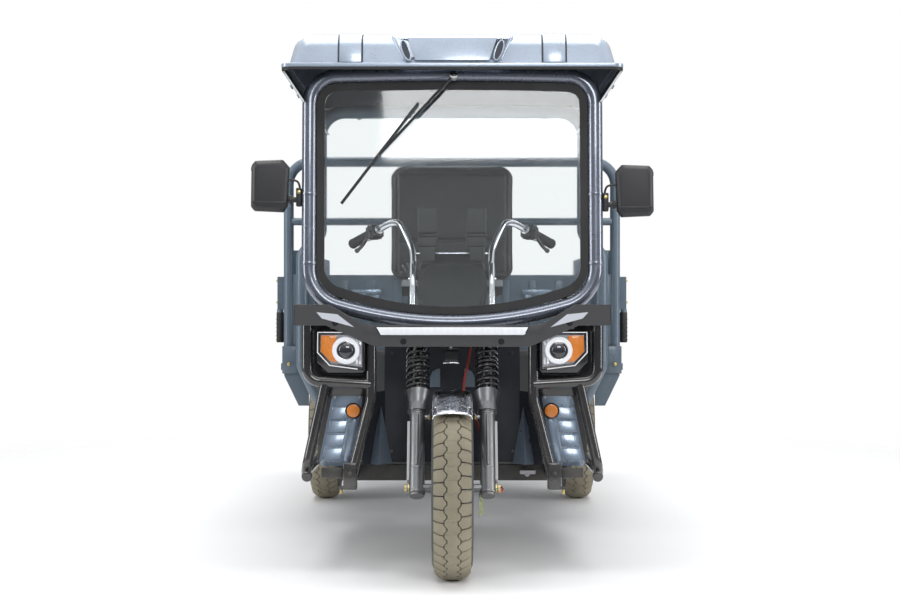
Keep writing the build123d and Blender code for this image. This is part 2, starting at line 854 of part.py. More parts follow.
# Bumper: a folded plate that dips in the middle, with four bolt holes and two arms
bumper_back_y = bumper_y + bumper_thick
bumper_half_view = (
    (bumper_half, 787),
    (bumper_half, 850),
    (390, 850),
    (245, 765),
)
bumper_low_view = ((245, 720), (400, 787))
bumper_outline = [(x, z) for x, z in bumper_half_view]
bumper_outline += [(-x, z) for x, z in reversed(bumper_half_view)]
bumper_outline += [(-x, z) for x, z in reversed(bumper_low_view)]
bumper_outline += [(x, z) for x, z in bumper_low_view]
arm_low_z = 776
arm_high_z = 826
with BuildPart() as bumper:
    front_plate(bumper_outline, bumper_y, bumper_back_y)
    for side in (-1, 1):
        block(
            side * (upright_x - 15),
            side * (upright_x + 15),
            bumper_y + 1,
            upright_y - upright_tube / 2 - seat_gap,
            arm_low_z,
            arm_high_z,
        )
        for x, z in ((bumper_hole_inner, 736), (bumper_hole_outer, 795)):
            with Locations(Plane(origin=(side * x, bumper_y, z), z_dir=(0, -1, 0))):
                Cylinder(bumper_hole_radius, 4 * bumper_thick, mode=Mode.SUBTRACT)
save(bumper, "bumper")

with BuildPart() as light_strip:
    block(-strip_half, strip_half, bumper_y - 6, bumper_y, strip_low_z, strip_low_z + 12)
save(light_strip, "light_strip")

# Headlights: cases with a cut outer lower corner, seated on the uprights
lamp_front_y = bumper_back_y + 2
lamp_back_y = upright_y - upright_tube / 2 - seat_gap
with BuildPart() as headlights:
    for side in (-1, 1):
        lamp_view = (
            (side * lamp_inner_x, lamp_high_z),
            (side * lamp_outer_x, lamp_high_z),
            (side * lamp_outer_x, lamp_low_z + 35),
            (side * (lamp_outer_x - 35), lamp_low_z),
            (side * lamp_inner_x, lamp_low_z),
        )
        front_plate(lamp_view, lamp_front_y, lamp_back_y)
save(headlights, "headlights")

# Guard bars: one welded set of tubes each side
guard_y = bumper_back_y + guard_tube / 2 + seat_gap
guard_inner_x = upright_x - 112
guard_run_x = upright_x - 46
with BuildPart() as guard_bars:
    for side in (-1, 1):
        tube(
            (
                (side * (upright_x + 91), guard_y, arm_high_z + 9),
                (side * (upright_x + 91), guard_y, lamp_low_z - 23),
                (side * guard_inner_x, guard_y, lamp_low_z - 35),
            ),
            guard_tube,
            42,
        )
        tube(
            (
                (side * guard_inner_x, guard_y, lamp_high_z - 10),
                (side * guard_inner_x, guard_y, lamp_low_z - 86),
                (side * guard_run_x, guard_y, guard_run_z),
                (side * guard_run_x, rail_front_y - seat_gap, guard_run_z),
            ),
            guard_tube - 2,
            (80, 50),
        )
        tube(
            (
                (side * (upright_x + 33), guard_y, lamp_low_z - 29),
                (side * side_bar_x, guard_y, side_bar_z),
                (side * side_bar_x, seat_y + 100, side_bar_z),
            ),
            guard_tube - 3,
            50,
        )
save(guard_bars, "guard_bars")

# Reflectors on the leg shields
reflector_x = shield_inner_x + 27
reflector_z = shield_high_z - 57
reflector_radius = 26
with BuildPart() as reflectors:
    for side in (-1, 1):
        face_y = shield_y - shield_thick
        rod(
            (side * reflector_x, face_y - seat_gap - louvre_depth, reflector_z),
            (side * reflector_x, face_y - louvre_depth - 10, reflector_z),
            reflector_radius,
        )
save(reflectors, "side_reflectors")

# Seat box, battery, cushion and backrest
seat_box_low = cab_floor_z + seat_gap + floor_thick
with BuildPart() as seat_box:
    block(-seat_half, seat_half, seat_y, floor_back_y, seat_box_low, seat_low_z)
    block(
        -seat_half + box_sheet,
        seat_half - box_sheet,
        seat_y + box_sheet,
        floor_back_y - box_sheet,
        seat_box_low - 1,
        seat_low_z - box_sheet,
        mode=Mode.SUBTRACT,
    )
save(seat_box, "seat_box")

with BuildPart() as battery:
    battery_high_z = seat_box_low + battery_high
    block(-battery_half, battery_half, seat_y + 30, floor_back_y - 30, seat_box_low, battery_high_z)
save(battery, "battery_block")

with BuildPart() as cushion:
    block(-cushion_half, cushion_half, seat_y - 20, floor_back_y - 40, seat_low_z, seat_low_z + cushion_thick)
    fillet(cushion.edges().group_by(Axis.Z)[-1], 30)
save(cushion, "seat_cushion")

with BuildPart() as backrest:
    block(-back_half, back_half, floor_back_y - back_thick, floor_back_y - seat_gap, back_low_z, back_high_z)
    fillet(backrest.edges().group_by(Axis.Y)[0], 24)
save(backrest, "backrest")

# Backrest straps: two flat bars up the back of the seat box
strap_x = 150
strap_width = 40
strap_thick = 6
with BuildPart() as straps:
    for side in (-1, 1):
        block(
            side * (strap_x - strap_width / 2),
            side * (strap_x + strap_width / 2),
            floor_back_y,
            floor_back_y + strap_thick,
            seat_low_z - 200,
            back_high_z - 120,
        )
save(straps, "backrest_straps")

# Headboard: a tube hoop with a middle bar, its feet on the bed's front corners
board_y = bed_front_y + post_tube / 2
foot_plate_z = 620
with BuildPart() as headboard_frame:
    tube(
        (
            (-post_x, board_y, foot_plate_z),
            (-post_x, board_y, post_top_z),
            (post_x, board_y, post_top_z),
            (post_x, board_y, foot_plate_z),
        ),
        post_tube,
        90,
    )
    rod((-post_x, board_y, mid_bar_z), (post_x, board_y, mid_bar_z), mid_bar_tube / 2)
save(headboard_frame, "headboard_frame")

with BuildPart() as headboard_panel:
    block(
        -headboard_half,
        headboard_half,
        board_y - headboard_thick / 2,
        board_y + headboard_thick / 2,
        bed_floor_z - bed_sheet + seat_gap,
        headboard_high_z,
    )
save(headboard_panel, "headboard_panel")

# Bed frame: side members, cross members, corner feet and hinge ears with their pins
bed_low_z = rail_high_z
bed_under_z = bed_floor_z - bed_sheet
side_out = bed_half - 8
front_member_back = bed_front_y + 50
side_hinges = (bed_front_y + 160, (bed_front_y + bed_back_y) / 2, bed_back_y - 160)
tail_hinges = (-400, 0, 400)
tail_axis_y = rear_end_y - hinge_offset_y
ear_gap = hinge_lug / 2 + 2
with BuildPart() as bed_frame:
    for side in (-1, 1):
        block(side * (side_out - 40), side * side_out, front_member_back, bed_back_y, bed_low_z, bed_under_z)
        # Foot plate and gusset at the front corner
        block(
            side * (side_out - 40),
            side * corner_half,
            bed_front_y - 4,
            bed_front_y + 48,
            foot_plate_z - 26,
            foot_plate_z,
        )
        front_plate(
            (
                (side * (side_out - 30), foot_plate_z - 26),
                (side * (corner_half - 12), foot_plate_z - 26),
                (side * (corner_half - 12), foot_plate_z - 48),
                (side * (side_out + 10), foot_plate_z - 166),
                (side * (side_out - 30), foot_plate_z - 166),
            ),
            bed_front_y,
            bed_front_y + 8,
        )
        for y in side_hinges:
            for ear_y in (y - ear_gap - hinge_ear, y + ear_gap):
                block(
                    side * (side_out - 1),
                    side * (hinge_x + 9),
                    ear_y,
                    ear_y + hinge_ear,
                    hinge_z - 9,
                    hinge_z + 9,
                )
            pin_start = (side * hinge_x, y - ear_gap - hinge_ear, hinge_z)
            rod(pin_start, (side * hinge_x, y + ear_gap + hinge_ear, hinge_z), hinge_pin)
    # Cross members: y from, y to
    crosses = (
        (bed_front_y, front_member_back),
        (300, 340),
        (rear_axle_y - 60, rear_axle_y - 20),
        (1250, 1290),
        (bed_back_y - 40, bed_back_y),
    )
    for start, end in crosses:
        block(-side_out, side_out, start, end, bed_low_z, bed_under_z)
    for x in tail_hinges:
        for ear_x in (x - ear_gap - hinge_ear, x + ear_gap):
            block(ear_x, ear_x + hinge_ear, bed_back_y - 1, rear_end_y, hinge_z - 9, hinge_z + 9)
        pin_start = (x - ear_gap - hinge_ear, tail_axis_y, hinge_z)
        rod(pin_start, (x + ear_gap + hinge_ear, tail_axis_y, hinge_z), hinge_pin)
save(bed_frame, "bed_frame")

with BuildPart() as bed_floor:
    block(-bed_half, bed_half, front_member_back, bed_back_y, bed_under_z, bed_floor_z)
    floor_front_y = board_y + headboard_thick / 2 + seat_gap
    block(-headboard_half, headboard_half, floor_front_y, front_member_back, bed_under_z, bed_floor_z)
save(bed_floor, "bed_floor")

# Side gates: a panel with raised boards and hinge lugs round the pins
gate_front_y = bed_front_y + 57
tail_low_y = rear_end_y - 53
gate_back_y = tail_low_y - gate_clear
board_length = (gate_back_y - gate_front_y - (board_count - 1) * board_gap) / board_count
lug_high_z = gate_low_z + 34
latch_high_z = gate_high_z - 6
for side, name in ((1, "left"), (-1, "right")):
    outer_x = gate_inner_x + gate_thick
    with BuildPart() as gate:
        block(side * gate_inner_x, side * outer_x, gate_front_y, gate_back_y, gate_low_z, gate_high_z)
        for board in range(board_count):
            start = gate_front_y + board * (board_length + board_gap)
            block(
                side * gate_inner_x,
                side * outer_x,
                start,
                start + board_length,
                gate_high_z + seat_gap,
                board_high_z,
            )
        for y in side_hinges:
            block(
                side * (outer_x - 1),
                side * (hinge_x + hinge_barrel),
                y - hinge_lug / 2,
                y + hinge_lug / 2,
                gate_low_z,
                lug_high_z,
            )
            block(
                side * (hinge_x - hinge_barrel),
                side * (hinge_x + hinge_barrel),
                y - hinge_lug / 2,
                y + hinge_lug / 2,
                hinge_z,
                lug_high_z,
            )
            rod(
                (side * hinge_x, y - hinge_lug / 2, hinge_z),
                (side * hinge_x, y + hinge_lug / 2, hinge_z),
                hinge_barrel,
            )
            rod(
                (side * hinge_x, y - hinge_lug, hinge_z),
                (side * hinge_x, y + hinge_lug, hinge_z),
                hinge_pin + seat_gap,
                mode=Mode.SUBTRACT,
            )
    save(gate, f"side_gate_{name}")
    # Latch: a pivoted lever with a rubber grip at the front corner
    with BuildPart() as latch:
        block(
            side * outer_x,
            side * (outer_x + 14),
            gate_front_y + 2,
            gate_front_y + 40,
            latch_high_z - 170,
            latch_high_z,
        )
        block(
            side * (outer_x + 13),
            side * (outer_x + latch_depth),
            gate_front_y + 8,
            gate_front_y + 30,
            latch_high_z - 130,
            latch_high_z,
        )
        rod(
            (side * (outer_x + 48), gate_front_y + 19, latch_high_z - 129),
            (side * (outer_x + 48), gate_front_y + 19, latch_high_z - 260),
            13,
        )
    save(latch, f"side_latch_{name}")

# Tailgate and its latches
tail_half = gate_inner_x + gate_thick
tail_out_y = tail_low_y + gate_thick
with BuildPart() as tailgate:
    block(-tail_half, tail_half, tail_low_y, tail_out_y, gate_low_z, gate_high_z)
    for x in tail_hinges:
        block(x - hinge_lug / 2, x + hinge_lug / 2, tail_out_y - 1, rear_end_y - 2, gate_low_z, lug_high_z)
        block(
            x - hinge_lug / 2,
            x + hinge_lug / 2,
            tail_axis_y - hinge_barrel,
            tail_axis_y + hinge_barrel,
            hinge_z,
            lug_high_z,
        )
        rod((x - hinge_lug / 2, tail_axis_y, hinge_z), (x + hinge_lug / 2, tail_axis_y, hinge_z), hinge_barrel)
        rod(
            (x - hinge_lug, tail_axis_y, hinge_z),
            (x + hinge_lug, tail_axis_y, hinge_z),
            hinge_pin + seat_gap,
            mode=Mode.SUBTRACT,
        )
save(tailgate, "tailgate")

with BuildPart() as tail_latches:
    for side in (-1, 1):
        lever_x = side * (tail_half + 11)
        low = gate_high_z - 206
        block(side * tail_half, side * (tail_half + 12), tail_low_y, tail_low_y + 28, low, low + 170)
        block(lever_x, lever_x + side * 33, tail_low_y + 4, tail_low_y + 22, low + 40, low + 165)
save(tail_latches, "tail_latches")

# Rear axle: housing, gear case and spindles
tube_end = rear_track / 2 - 80
nut_at = rear_track / 2 + hub_out + 5
with BuildPart() as axle_housing:
    rod((-tube_end, rear_axle_y, wheel_radius), (tube_end, rear_axle_y, wheel_radius), axle_tube_radius)
    rod((-nut_at, rear_axle_y, wheel_radius), (nut_at, rear_axle_y, wheel_radius), spindle_radius)
    rod((-70, rear_axle_y, wheel_radius), (70, rear_axle_y, wheel_radius), 95)
    for side in (-1, 1):
        rod(
            (side * (rear_track / 2 + hub_out + 2), rear_axle_y, wheel_radius),
            (side * (nut_at + 12), rear_axle_y, wheel_radius),
            20,
        )
        rod(
            (side * (tube_end - 2), rear_axle_y, wheel_radius),
            (side * (rear_track / 2 + hub_in - 2), rear_axle_y, wheel_radius),
            34,
        )
save(axle_housing, "rear_axle")

motor_y = rear_axle_y - 95 - 75
with BuildPart() as motor:
    rod((-40, motor_y - seat_gap, wheel_radius), (190, motor_y - seat_gap, wheel_radius), 75)
save(motor, "drive_motor")

# Leaf springs: curved packs on the axle, with eyes at their ends
leaf_middle_low = wheel_radius + axle_tube_radius + 20
with BuildPart() as leaf_springs:
    for side in (-1, 1):
        with BuildSketch(Plane.YZ.offset(side * rail_x - spring_width / 2)) as pack:
            with BuildLine():
                low = ThreePointArc(
                    (rear_axle_y - spring_half_length, hanger_z - 6),
                    (rear_axle_y, leaf_middle_low),
                    (rear_axle_y + spring_half_length, hanger_z - 6),
                )
                high = ThreePointArc(
                    (rear_axle_y + spring_half_length, hanger_z + 2),
                    (rear_axle_y, leaf_middle_low + spring_pack),
                    (rear_axle_y - spring_half_length, hanger_z + 2),
                )
                Line(low @ 1, high @ 0)
                Line(high @ 1, low @ 0)
            make_face()
        extrude(pack.sketch, amount=spring_width, dir=(1, 0, 0))
        for y in (rear_axle_y - spring_half_length, rear_axle_y + spring_half_length):
            rod(
                (side * rail_x - spring_width / 2, y, hanger_z),
                (side * rail_x + spring_width / 2, y, hanger_z),
                eye_radius,
            )
        block(
            side * rail_x - spring_width / 2,
            side * rail_x + spring_width / 2,
            rear_axle_y - 55,
            rear_axle_y + 55,
            wheel_radius + axle_tube_radius + seat_gap,
            leaf_middle_low + 4,
        )
save(leaf_springs, "leaf_springs")

# Tail lamps and the blank plate under the bed's rear edge
with BuildPart() as tail_lamps:
    for side in (-1, 1):
        block(
            side * (side_out - 142),
            side * (side_out - 4),
            bed_back_y,
            bed_back_y + 26,
            bed_low_z - 18,
            bed_low_z + 62,
        )
save(tail_lamps, "tail_lamps")

with BuildPart() as plate:
    block(-110, 110, bed_back_y, bed_back_y + 3, bed_low_z - 130, bed_low_z - 10)
save(plate, "rear_plate")

with BuildPart() as flaps:
    for side in (-1, 1):
        block(
            side * (rear_track / 2 - 70),
            side * (rear_track / 2 + 39),
            rear_axle_y + 330,
            rear_axle_y + 336,
            250,
            bed_low_z,
        )
save(flaps, "mud_flaps")

# Brake pedal on the front cross member
with BuildPart() as pedal:
    rod((250, rail_front_y - seat_gap, 288), (250, rail_front_y - 40, 288), 9)
    rod((250, rail_front_y - 34, 288), (250, rail_front_y - 60, 300), 7)
    block(225, 275, rail_front_y - 90, rail_front_y - 50, 292, 304)
save(pedal, "brake_pedal")

# Grips and switch pods on the bar's ends
with BuildPart() as grips:
    for side in (-1, 1):
        tip = Vector(side * grip_x, grip_y, grip_z)
        inner = Vector(side * (riser_x + 62), riser_high.Y + 40, bar_top_z)
        along = (inner - tip).normalized()
        root = tip + along * grip_length
        pod = tip + along * (grip_length + 45)
        start = tip - along * 8
        rod(tuple(start), tuple(root), grip_diameter / 2)
        rod(tuple(root), tuple(pod), 24)
        bore = tip - along * seat_gap
        rod(tuple(bore), tuple(pod + along), bar_diameter / 2 + seat_gap, mode=Mode.SUBTRACT)
save(grips, "grips")
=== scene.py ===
# %% [markdown]
# A cargo tricycle, dressed for a studio picture. Its frame comes finished, at its real size, and this
# notebook gives every surface its finish and adds the small pieces: tread blocks, springs, lamps,
# pressed panels, bolts and the sewn seat. Everything is in metres, with the front towards -Y.

# %% Load the frame
from math import cos, pi, radians, sin

import bpy
from mathutils import Matrix, Vector
from mathutils.bvhtree import BVHTree


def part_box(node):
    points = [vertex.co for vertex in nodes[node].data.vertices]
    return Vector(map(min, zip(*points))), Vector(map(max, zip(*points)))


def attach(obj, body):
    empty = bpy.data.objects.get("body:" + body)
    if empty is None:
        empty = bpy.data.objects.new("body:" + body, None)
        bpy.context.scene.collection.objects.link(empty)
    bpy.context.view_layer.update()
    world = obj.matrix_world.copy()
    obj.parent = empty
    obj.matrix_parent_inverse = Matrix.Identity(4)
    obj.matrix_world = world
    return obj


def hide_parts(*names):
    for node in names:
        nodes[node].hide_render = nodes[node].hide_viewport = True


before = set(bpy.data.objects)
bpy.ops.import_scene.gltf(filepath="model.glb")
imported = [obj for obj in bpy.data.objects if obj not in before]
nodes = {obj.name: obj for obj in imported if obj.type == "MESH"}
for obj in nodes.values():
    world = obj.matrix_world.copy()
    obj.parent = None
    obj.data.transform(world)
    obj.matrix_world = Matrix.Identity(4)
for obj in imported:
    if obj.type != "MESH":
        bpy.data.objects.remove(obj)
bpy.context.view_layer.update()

# %% [markdown]
# The camera stands level in front of the wheel, 0.87 m above the floor. A long lens keeps the tall
# cab nearly square, as a catalogue picture does.

# %% Camera
eye_height = 0.866
eye_distance = 5.4
front_tyre_low, front_tyre_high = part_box("front_tyre")
front_axle = (front_tyre_low + front_tyre_high) / 2
wheel_radius = front_axle.z
bpy.ops.object.camera_add(
    location=(-0.0074, front_axle.y - eye_distance, eye_height), rotation=(radians(90), 0, 0)
)
camera = bpy.context.object
camera.data.lens = 69.4
camera.data.sensor_width = 36
bpy.context.scene.camera = camera
bpy.context.scene.view_settings.view_transform = "Standard"

# %% [markdown]
# Node trees are long when every link is a line of its own. This helper adds one node, sets its
# properties, and for each input either links a socket or writes a value.


# %% A helper for nodes
def put(tree, kind, inputs=None, **settings):
    """Add one node; an input given as a socket is linked, and any other value is written."""
    node = tree.nodes.new(kind)
    for name, value in settings.items():
        setattr(node, name, value)
    for key, value in (inputs or {}).items():
        if isinstance(value, bpy.types.NodeSocket):
            tree.links.new(value, node.inputs[key])
        else:
            node.inputs[key].default_value = value
    return node


def clear_tree(owner):
    """Give a material or world an empty node tree."""
    owner.use_nodes = True
    owner.node_tree.nodes.clear()
    return owner.node_tree


# %% [markdown]
# The room is white to the camera and through glass, and gloss mirrors its white ceiling and greyer
# walls. Diffuse surfaces get a softer light from it, so that forms keep their shade. The floor is pale
# and fades out, and keeps the soft shadow under the wheels.

# %% World, floor and lamps
world = bpy.data.worlds.new("studio")
bpy.context.scene.world = world
tree = clear_tree(world)
light_path = put(tree, "ShaderNodeLightPath")
ray_way = put(tree, "ShaderNodeTexCoord")
ray_split = put(tree, "ShaderNodeSeparateXYZ", {0: ray_way.outputs["Generated"]})
room = put(tree, "ShaderNodeValToRGB", {0: ray_split.outputs["Z"]})
room.color_ramp.elements[0].position = 0.08
room.color_ramp.elements[0].color = (0.20, 0.21, 0.23, 1)
room.color_ramp.elements[1].position = 0.6
room.color_ramp.elements[1].color = (1, 1, 1, 1)
seen = put(tree, "ShaderNodeMath", {0: light_path.outputs["Is Camera Ray"],
                                    1: light_path.outputs["Is Transmission Ray"]}, operation="MAXIMUM")
ambient = put(tree, "ShaderNodeBackground", {"Color": (0.95, 0.97, 1.0, 1), "Strength": 0.42})
mirrored_room = put(tree, "ShaderNodeBackground", {"Color": room.outputs[0], "Strength": 1.0})
white = put(tree, "ShaderNodeBackground", {"Color": (1, 1, 1, 1), "Strength": 1.0})
gloss_or_not = put(tree, "ShaderNodeMixShader", {0: light_path.outputs["Is Glossy Ray"],
                                                 1: ambient.outputs[0], 2: mirrored_room.outputs[0]})
all_rays = put(tree, "ShaderNodeMixShader", {0: seen.outputs[0], 1: gloss_or_not.outputs[0],
                                             2: white.outputs[0]})
put(tree, "ShaderNodeOutputWorld", {0: all_rays.outputs[0]})

bpy.ops.mesh.primitive_plane_add(size=24, location=(0, 0, 0))
floor = bpy.context.object
floor.name = "studio_floor"
floor_paint = bpy.data.materials.new("pale floor")
floor.data.materials.append(floor_paint)
tree = clear_tree(floor_paint)
spot = put(tree, "ShaderNodeTexCoord")
reach = put(tree, "ShaderNodeVectorMath", {0: spot.outputs["Object"]}, operation="LENGTH")
fade = put(tree, "ShaderNodeMapRange", {0: reach.outputs["Value"], 1: 2.6, 2: 4.6, 3: 0.0, 4: 1.0},
           interpolation_type="SMOOTHSTEP")
matt = put(tree, "ShaderNodeBsdfDiffuse", {"Color": (0.9, 0.9, 0.9, 1)})
clear = put(tree, "ShaderNodeBsdfTransparent")
mixed = put(tree, "ShaderNodeMixShader", {0: fade.outputs[0], 1: matt.outputs[0], 2: clear.outputs[0]})
put(tree, "ShaderNodeOutputMaterial", {0: mixed.outputs[0]})


def area_lamp(name, place, target, width, height, power):
    """A soft lamp at a place, turned towards a target."""
    turn = (Vector(target) - Vector(place)).to_track_quat("-Z", "Y").to_euler()
    bpy.ops.object.light_add(type="AREA", location=place, rotation=turn)
    lamp = bpy.context.object
    lamp.name = name
    lamp.data.shape = "RECTANGLE"
    lamp.data.size = width
    lamp.data.size_y = height
    lamp.data.energy = power


# Name, place, target, width, height, power
lamps = (
    ("overhead", (0, -0.4, 4.6), (0, 0, 0.8), 4.2, 5.2, 230),
    ("front_fill", (0.8, -7.4, 3.4), (0, 0, 0.7), 2.6, 1.6, 110),
    ("left_strip", (-4.4, -2.2, 1.9), (0, -0.4, 0.9), 1.0, 3.0, 80),
    ("right_strip", (4.4, -2.2, 1.9), (0, -0.4, 0.9), 1.0, 3.0, 80),
    ("back_fill", (0, 5.4, 3.0), (0, 0.6, 0.9), 3.4, 1.6, 90),
)
for lamp_facts in lamps:
    area_lamp(*lamp_facts)

# %% [markdown]
# Real finishes share a few habits: metal flakes glitter, paint has a faint orange peel, edges rub
# bright, dust settles low and on top, and moulded plastic has a grain. Each habit is one node group,
# built once and placed in every material with its own numbers.


# %% Shared groups: a frame to fill
def shader_group(name, inputs, outputs):
    """An empty group with its inputs and outputs; returns the tree, its entry and its exit."""
    group_tree = bpy.data.node_groups.new(name, "ShaderNodeTree")
    for label, kind, value in inputs:
        socket = group_tree.interface.new_socket(label, in_out="INPUT", socket_type=kind)
        socket.default_value = value
    for label, kind in outputs:
        group_tree.interface.new_socket(label, in_out="OUTPUT", socket_type=kind)
    return group_tree, group_tree.nodes.new("NodeGroupInput"), group_tree.nodes.new("NodeGroupOutput")


def object_noise(tree, scale, detail=3.0, rough=0.55):
    """A noise read from the piece's own place, so that it stays put when the piece moves."""
    place = put(tree, "ShaderNodeTexCoord")
    return put(tree, "ShaderNodeTexNoise", {"Vector": place.outputs["Object"], "Scale": scale,
                                            "Detail": detail, "Roughness": rough})


NUMBER, COLOUR = "NodeSocketFloat", "NodeSocketColor"

# %% Group: tone, a slow drift of brightness
tone_group, entry, leave = shader_group(
    "tone drift",
    (("Color", COLOUR, (0.5, 0.5, 0.5, 1)), ("Scale", NUMBER, 2.0), ("Spread", NUMBER, 0.1)),
    (("Color", COLOUR), ("Mask", NUMBER)),
)
drift = object_noise(tone_group, 2.0)
tone_group.links.new(entry.outputs["Scale"], drift.inputs["Scale"])
centred = put(tone_group, "ShaderNodeMath", {0: drift.outputs["Fac"], 1: 0.5}, operation="SUBTRACT")
spread = put(tone_group, "ShaderNodeMath", {0: centred.outputs[0], 1: entry.outputs["Spread"]},
             operation="MULTIPLY")
doubled = put(tone_group, "ShaderNodeMath", {0: spread.outputs[0], 1: 4.0, 2: 1.0}, operation="MULTIPLY_ADD")
toned = put(tone_group, "ShaderNodeVectorMath", {0: entry.outputs["Color"], 1: doubled.outputs[0]},
            operation="MULTIPLY")
tone_group.links.new(toned.outputs[0], leave.inputs["Color"])
tone_group.links.new(drift.outputs["Fac"], leave.inputs["Mask"])

# %% Group: metal flakes under a clear coat
flake_group, entry, leave = shader_group(
    "metal flakes",
    (("Color", COLOUR, (0.5, 0.5, 0.5, 1)), ("Scale", NUMBER, 900.0), ("Glitter", NUMBER, 0.3)),
    (("Color", COLOUR), ("Height", NUMBER)),
)
place = put(flake_group, "ShaderNodeTexCoord")
cells = put(flake_group, "ShaderNodeTexVoronoi", {"Vector": place.outputs["Object"],
                                                  "Scale": entry.outputs["Scale"]})
shade = put(flake_group, "ShaderNodeSeparateColor", {0: cells.outputs["Color"]})
glint = put(flake_group, "ShaderNodeMath", {0: shade.outputs[0], 1: 0.5}, operation="SUBTRACT")
glitter = put(flake_group, "ShaderNodeMath", {0: glint.outputs[0], 1: entry.outputs["Glitter"]},
              operation="MULTIPLY")
lifted = put(flake_group, "ShaderNodeMath", {0: glitter.outputs[0], 1: 1.0}, operation="ADD")
flaked = put(flake_group, "ShaderNodeVectorMath", {0: entry.outputs["Color"], 1: lifted.outputs[0]},
             operation="MULTIPLY")
flake_group.links.new(flaked.outputs[0], leave.inputs["Color"])
flake_group.links.new(shade.outputs[1], leave.inputs["Height"])

# %% Group: grain, the fine relief of moulded plastic, rubber, leather and orange peel
grain_group, entry, leave = shader_group(
    "surface grain",
    (("Scale", NUMBER, 400.0), ("Cells", NUMBER, 0.5)),
    (("Height", NUMBER),),
)
place = put(grain_group, "ShaderNodeTexCoord")
soft_grain = put(grain_group, "ShaderNodeTexNoise", {"Vector": place.outputs["Object"],
                                                     "Scale": entry.outputs["Scale"], "Detail": 4.0})
pebbles = put(grain_group, "ShaderNodeTexVoronoi", {"Vector": place.outputs["Object"],
                                                    "Scale": entry.outputs["Scale"]},
              feature="SMOOTH_F1")
blend = put(grain_group, "ShaderNodeMix", {0: entry.outputs["Cells"], 2: soft_grain.outputs["Fac"],
                                           3: pebbles.outputs["Distance"]})
grain_group.links.new(blend.outputs[0], leave.inputs["Height"])

# %% Group: edge wear, where hands and straps have rubbed
wear_group, entry, leave = shader_group(
    "edge wear",
    (("Color", COLOUR, (0.5, 0.5, 0.5, 1)), ("Worn Color", COLOUR, (0.7, 0.7, 0.7, 1)),
     ("Amount", NUMBER, 0.5), ("Width", NUMBER, 0.003)),
    (("Color", COLOUR), ("Mask", NUMBER)),
)
rounded = put(wear_group, "ShaderNodeBevel", {"Radius": entry.outputs["Width"]}, samples=4)
flat = put(wear_group, "ShaderNodeNewGeometry")
alike = put(wear_group, "ShaderNodeVectorMath", {0: rounded.outputs[0], 1: flat.outputs["Normal"]},
            operation="DOT_PRODUCT")
edge = put(wear_group, "ShaderNodeMapRange", {0: alike.outputs["Value"], 1: 0.995, 2: 0.86, 3: 0.0, 4: 1.0})
patchy = object_noise(wear_group, 38.0, 5.0, 0.7)
broken = put(wear_group, "ShaderNodeMapRange", {0: patchy.outputs["Fac"], 1: 0.44, 2: 0.62, 3: 0.0, 4: 1.0})
rubbed = put(wear_group, "ShaderNodeMath", {0: edge.outputs[0], 1: broken.outputs[0]}, operation="MULTIPLY")
worn = put(wear_group, "ShaderNodeMath", {0: rubbed.outputs[0], 1: entry.outputs["Amount"]},
           operation="MULTIPLY", use_clamp=True)
worn_colour = put(wear_group, "ShaderNodeMix", {0: worn.outputs[0], 6: entry.outputs["Color"],
                                                7: entry.outputs["Worn Color"]}, data_type="RGBA")
wear_group.links.new(worn_colour.outputs[2], leave.inputs["Color"])
wear_group.links.new(worn.outputs[0], leave.inputs["Mask"])

# %% Group: dust, thicker near the road and on what faces up
dust_group, entry, leave = shader_group(
    "road dust",
    (("Color", COLOUR, (0.5, 0.5, 0.5, 1)), ("Dust Color", COLOUR, (0.36, 0.32, 0.26, 1)),
     ("Low Amount", NUMBER, 0.3), ("Top Amount", NUMBER, 0.1)),
    (("Color", COLOUR), ("Mask", NUMBER)),
)
place = put(dust_group, "ShaderNodeTexCoord")
height = put(dust_group, "ShaderNodeSeparateXYZ", {0: place.outputs["Object"]})
low_down = put(dust_group, "ShaderNodeMapRange", {0: height.outputs["Z"], 1: 0.75, 2: 0.05, 3: 0.0, 4: 1.0})
facing = put(dust_group, "ShaderNodeNewGeometry")
up = put(dust_group, "ShaderNodeSeparateXYZ", {0: facing.outputs["Normal"]})
on_top = put(dust_group, "ShaderNodeMapRange", {0: up.outputs["Z"], 1: 0.4, 2: 1.0, 3: 0.0, 4: 1.0})
low_part = put(dust_group, "ShaderNodeMath", {0: low_down.outputs[0], 1: entry.outputs["Low Amount"]},
               operation="MULTIPLY")
top_part = put(dust_group, "ShaderNodeMath", {0: on_top.outputs[0], 1: entry.outputs["Top Amount"],
                                              2: low_part.outputs[0]}, operation="MULTIPLY_ADD")
clouds = object_noise(dust_group, 9.0, 6.0, 0.65)
cloudy = put(dust_group, "ShaderNodeMapRange", {0: clouds.outputs["Fac"], 1: 0.32, 2: 0.68, 3: 0.15, 4: 1.0})
settled = put(dust_group, "ShaderNodeMath", {0: top_part.outputs[0], 1: cloudy.outputs[0]},
              operation="MULTIPLY", use_clamp=True)
dusty = put(dust_group, "ShaderNodeMix", {0: settled.outputs[0], 6: entry.outputs["Color"],
                                          7: entry.outputs["Dust Color"]}, data_type="RGBA")
dust_group.links.new(dusty.outputs[2], leave.inputs["Color"])
dust_group.links.new(settled.outputs[0], leave.inputs["Mask"])


# %% [markdown]
# Most finishes here are one recipe with other numbers: a colour with a slow drift of tone, then flakes,
# rubbed edges and dust over it, a roughness that follows the same masks, and a fine relief. Glass and
# lamp lenses get their own short recipes after it.


# %% The recipe for opaque finishes
def use_group(tree, group, **inputs):
    """Place a shared group; an input's name has spaces where the keyword has underscores."""
    node = tree.nodes.new("ShaderNodeGroup")
    node.node_tree = group
    for key, value in inputs.items():
        name = key.replace("_", " ")
        if isinstance(value, bpy.types.NodeSocket):
            tree.links.new(value, node.inputs[name])
        else:
            node.inputs[name].default_value = value
    return node


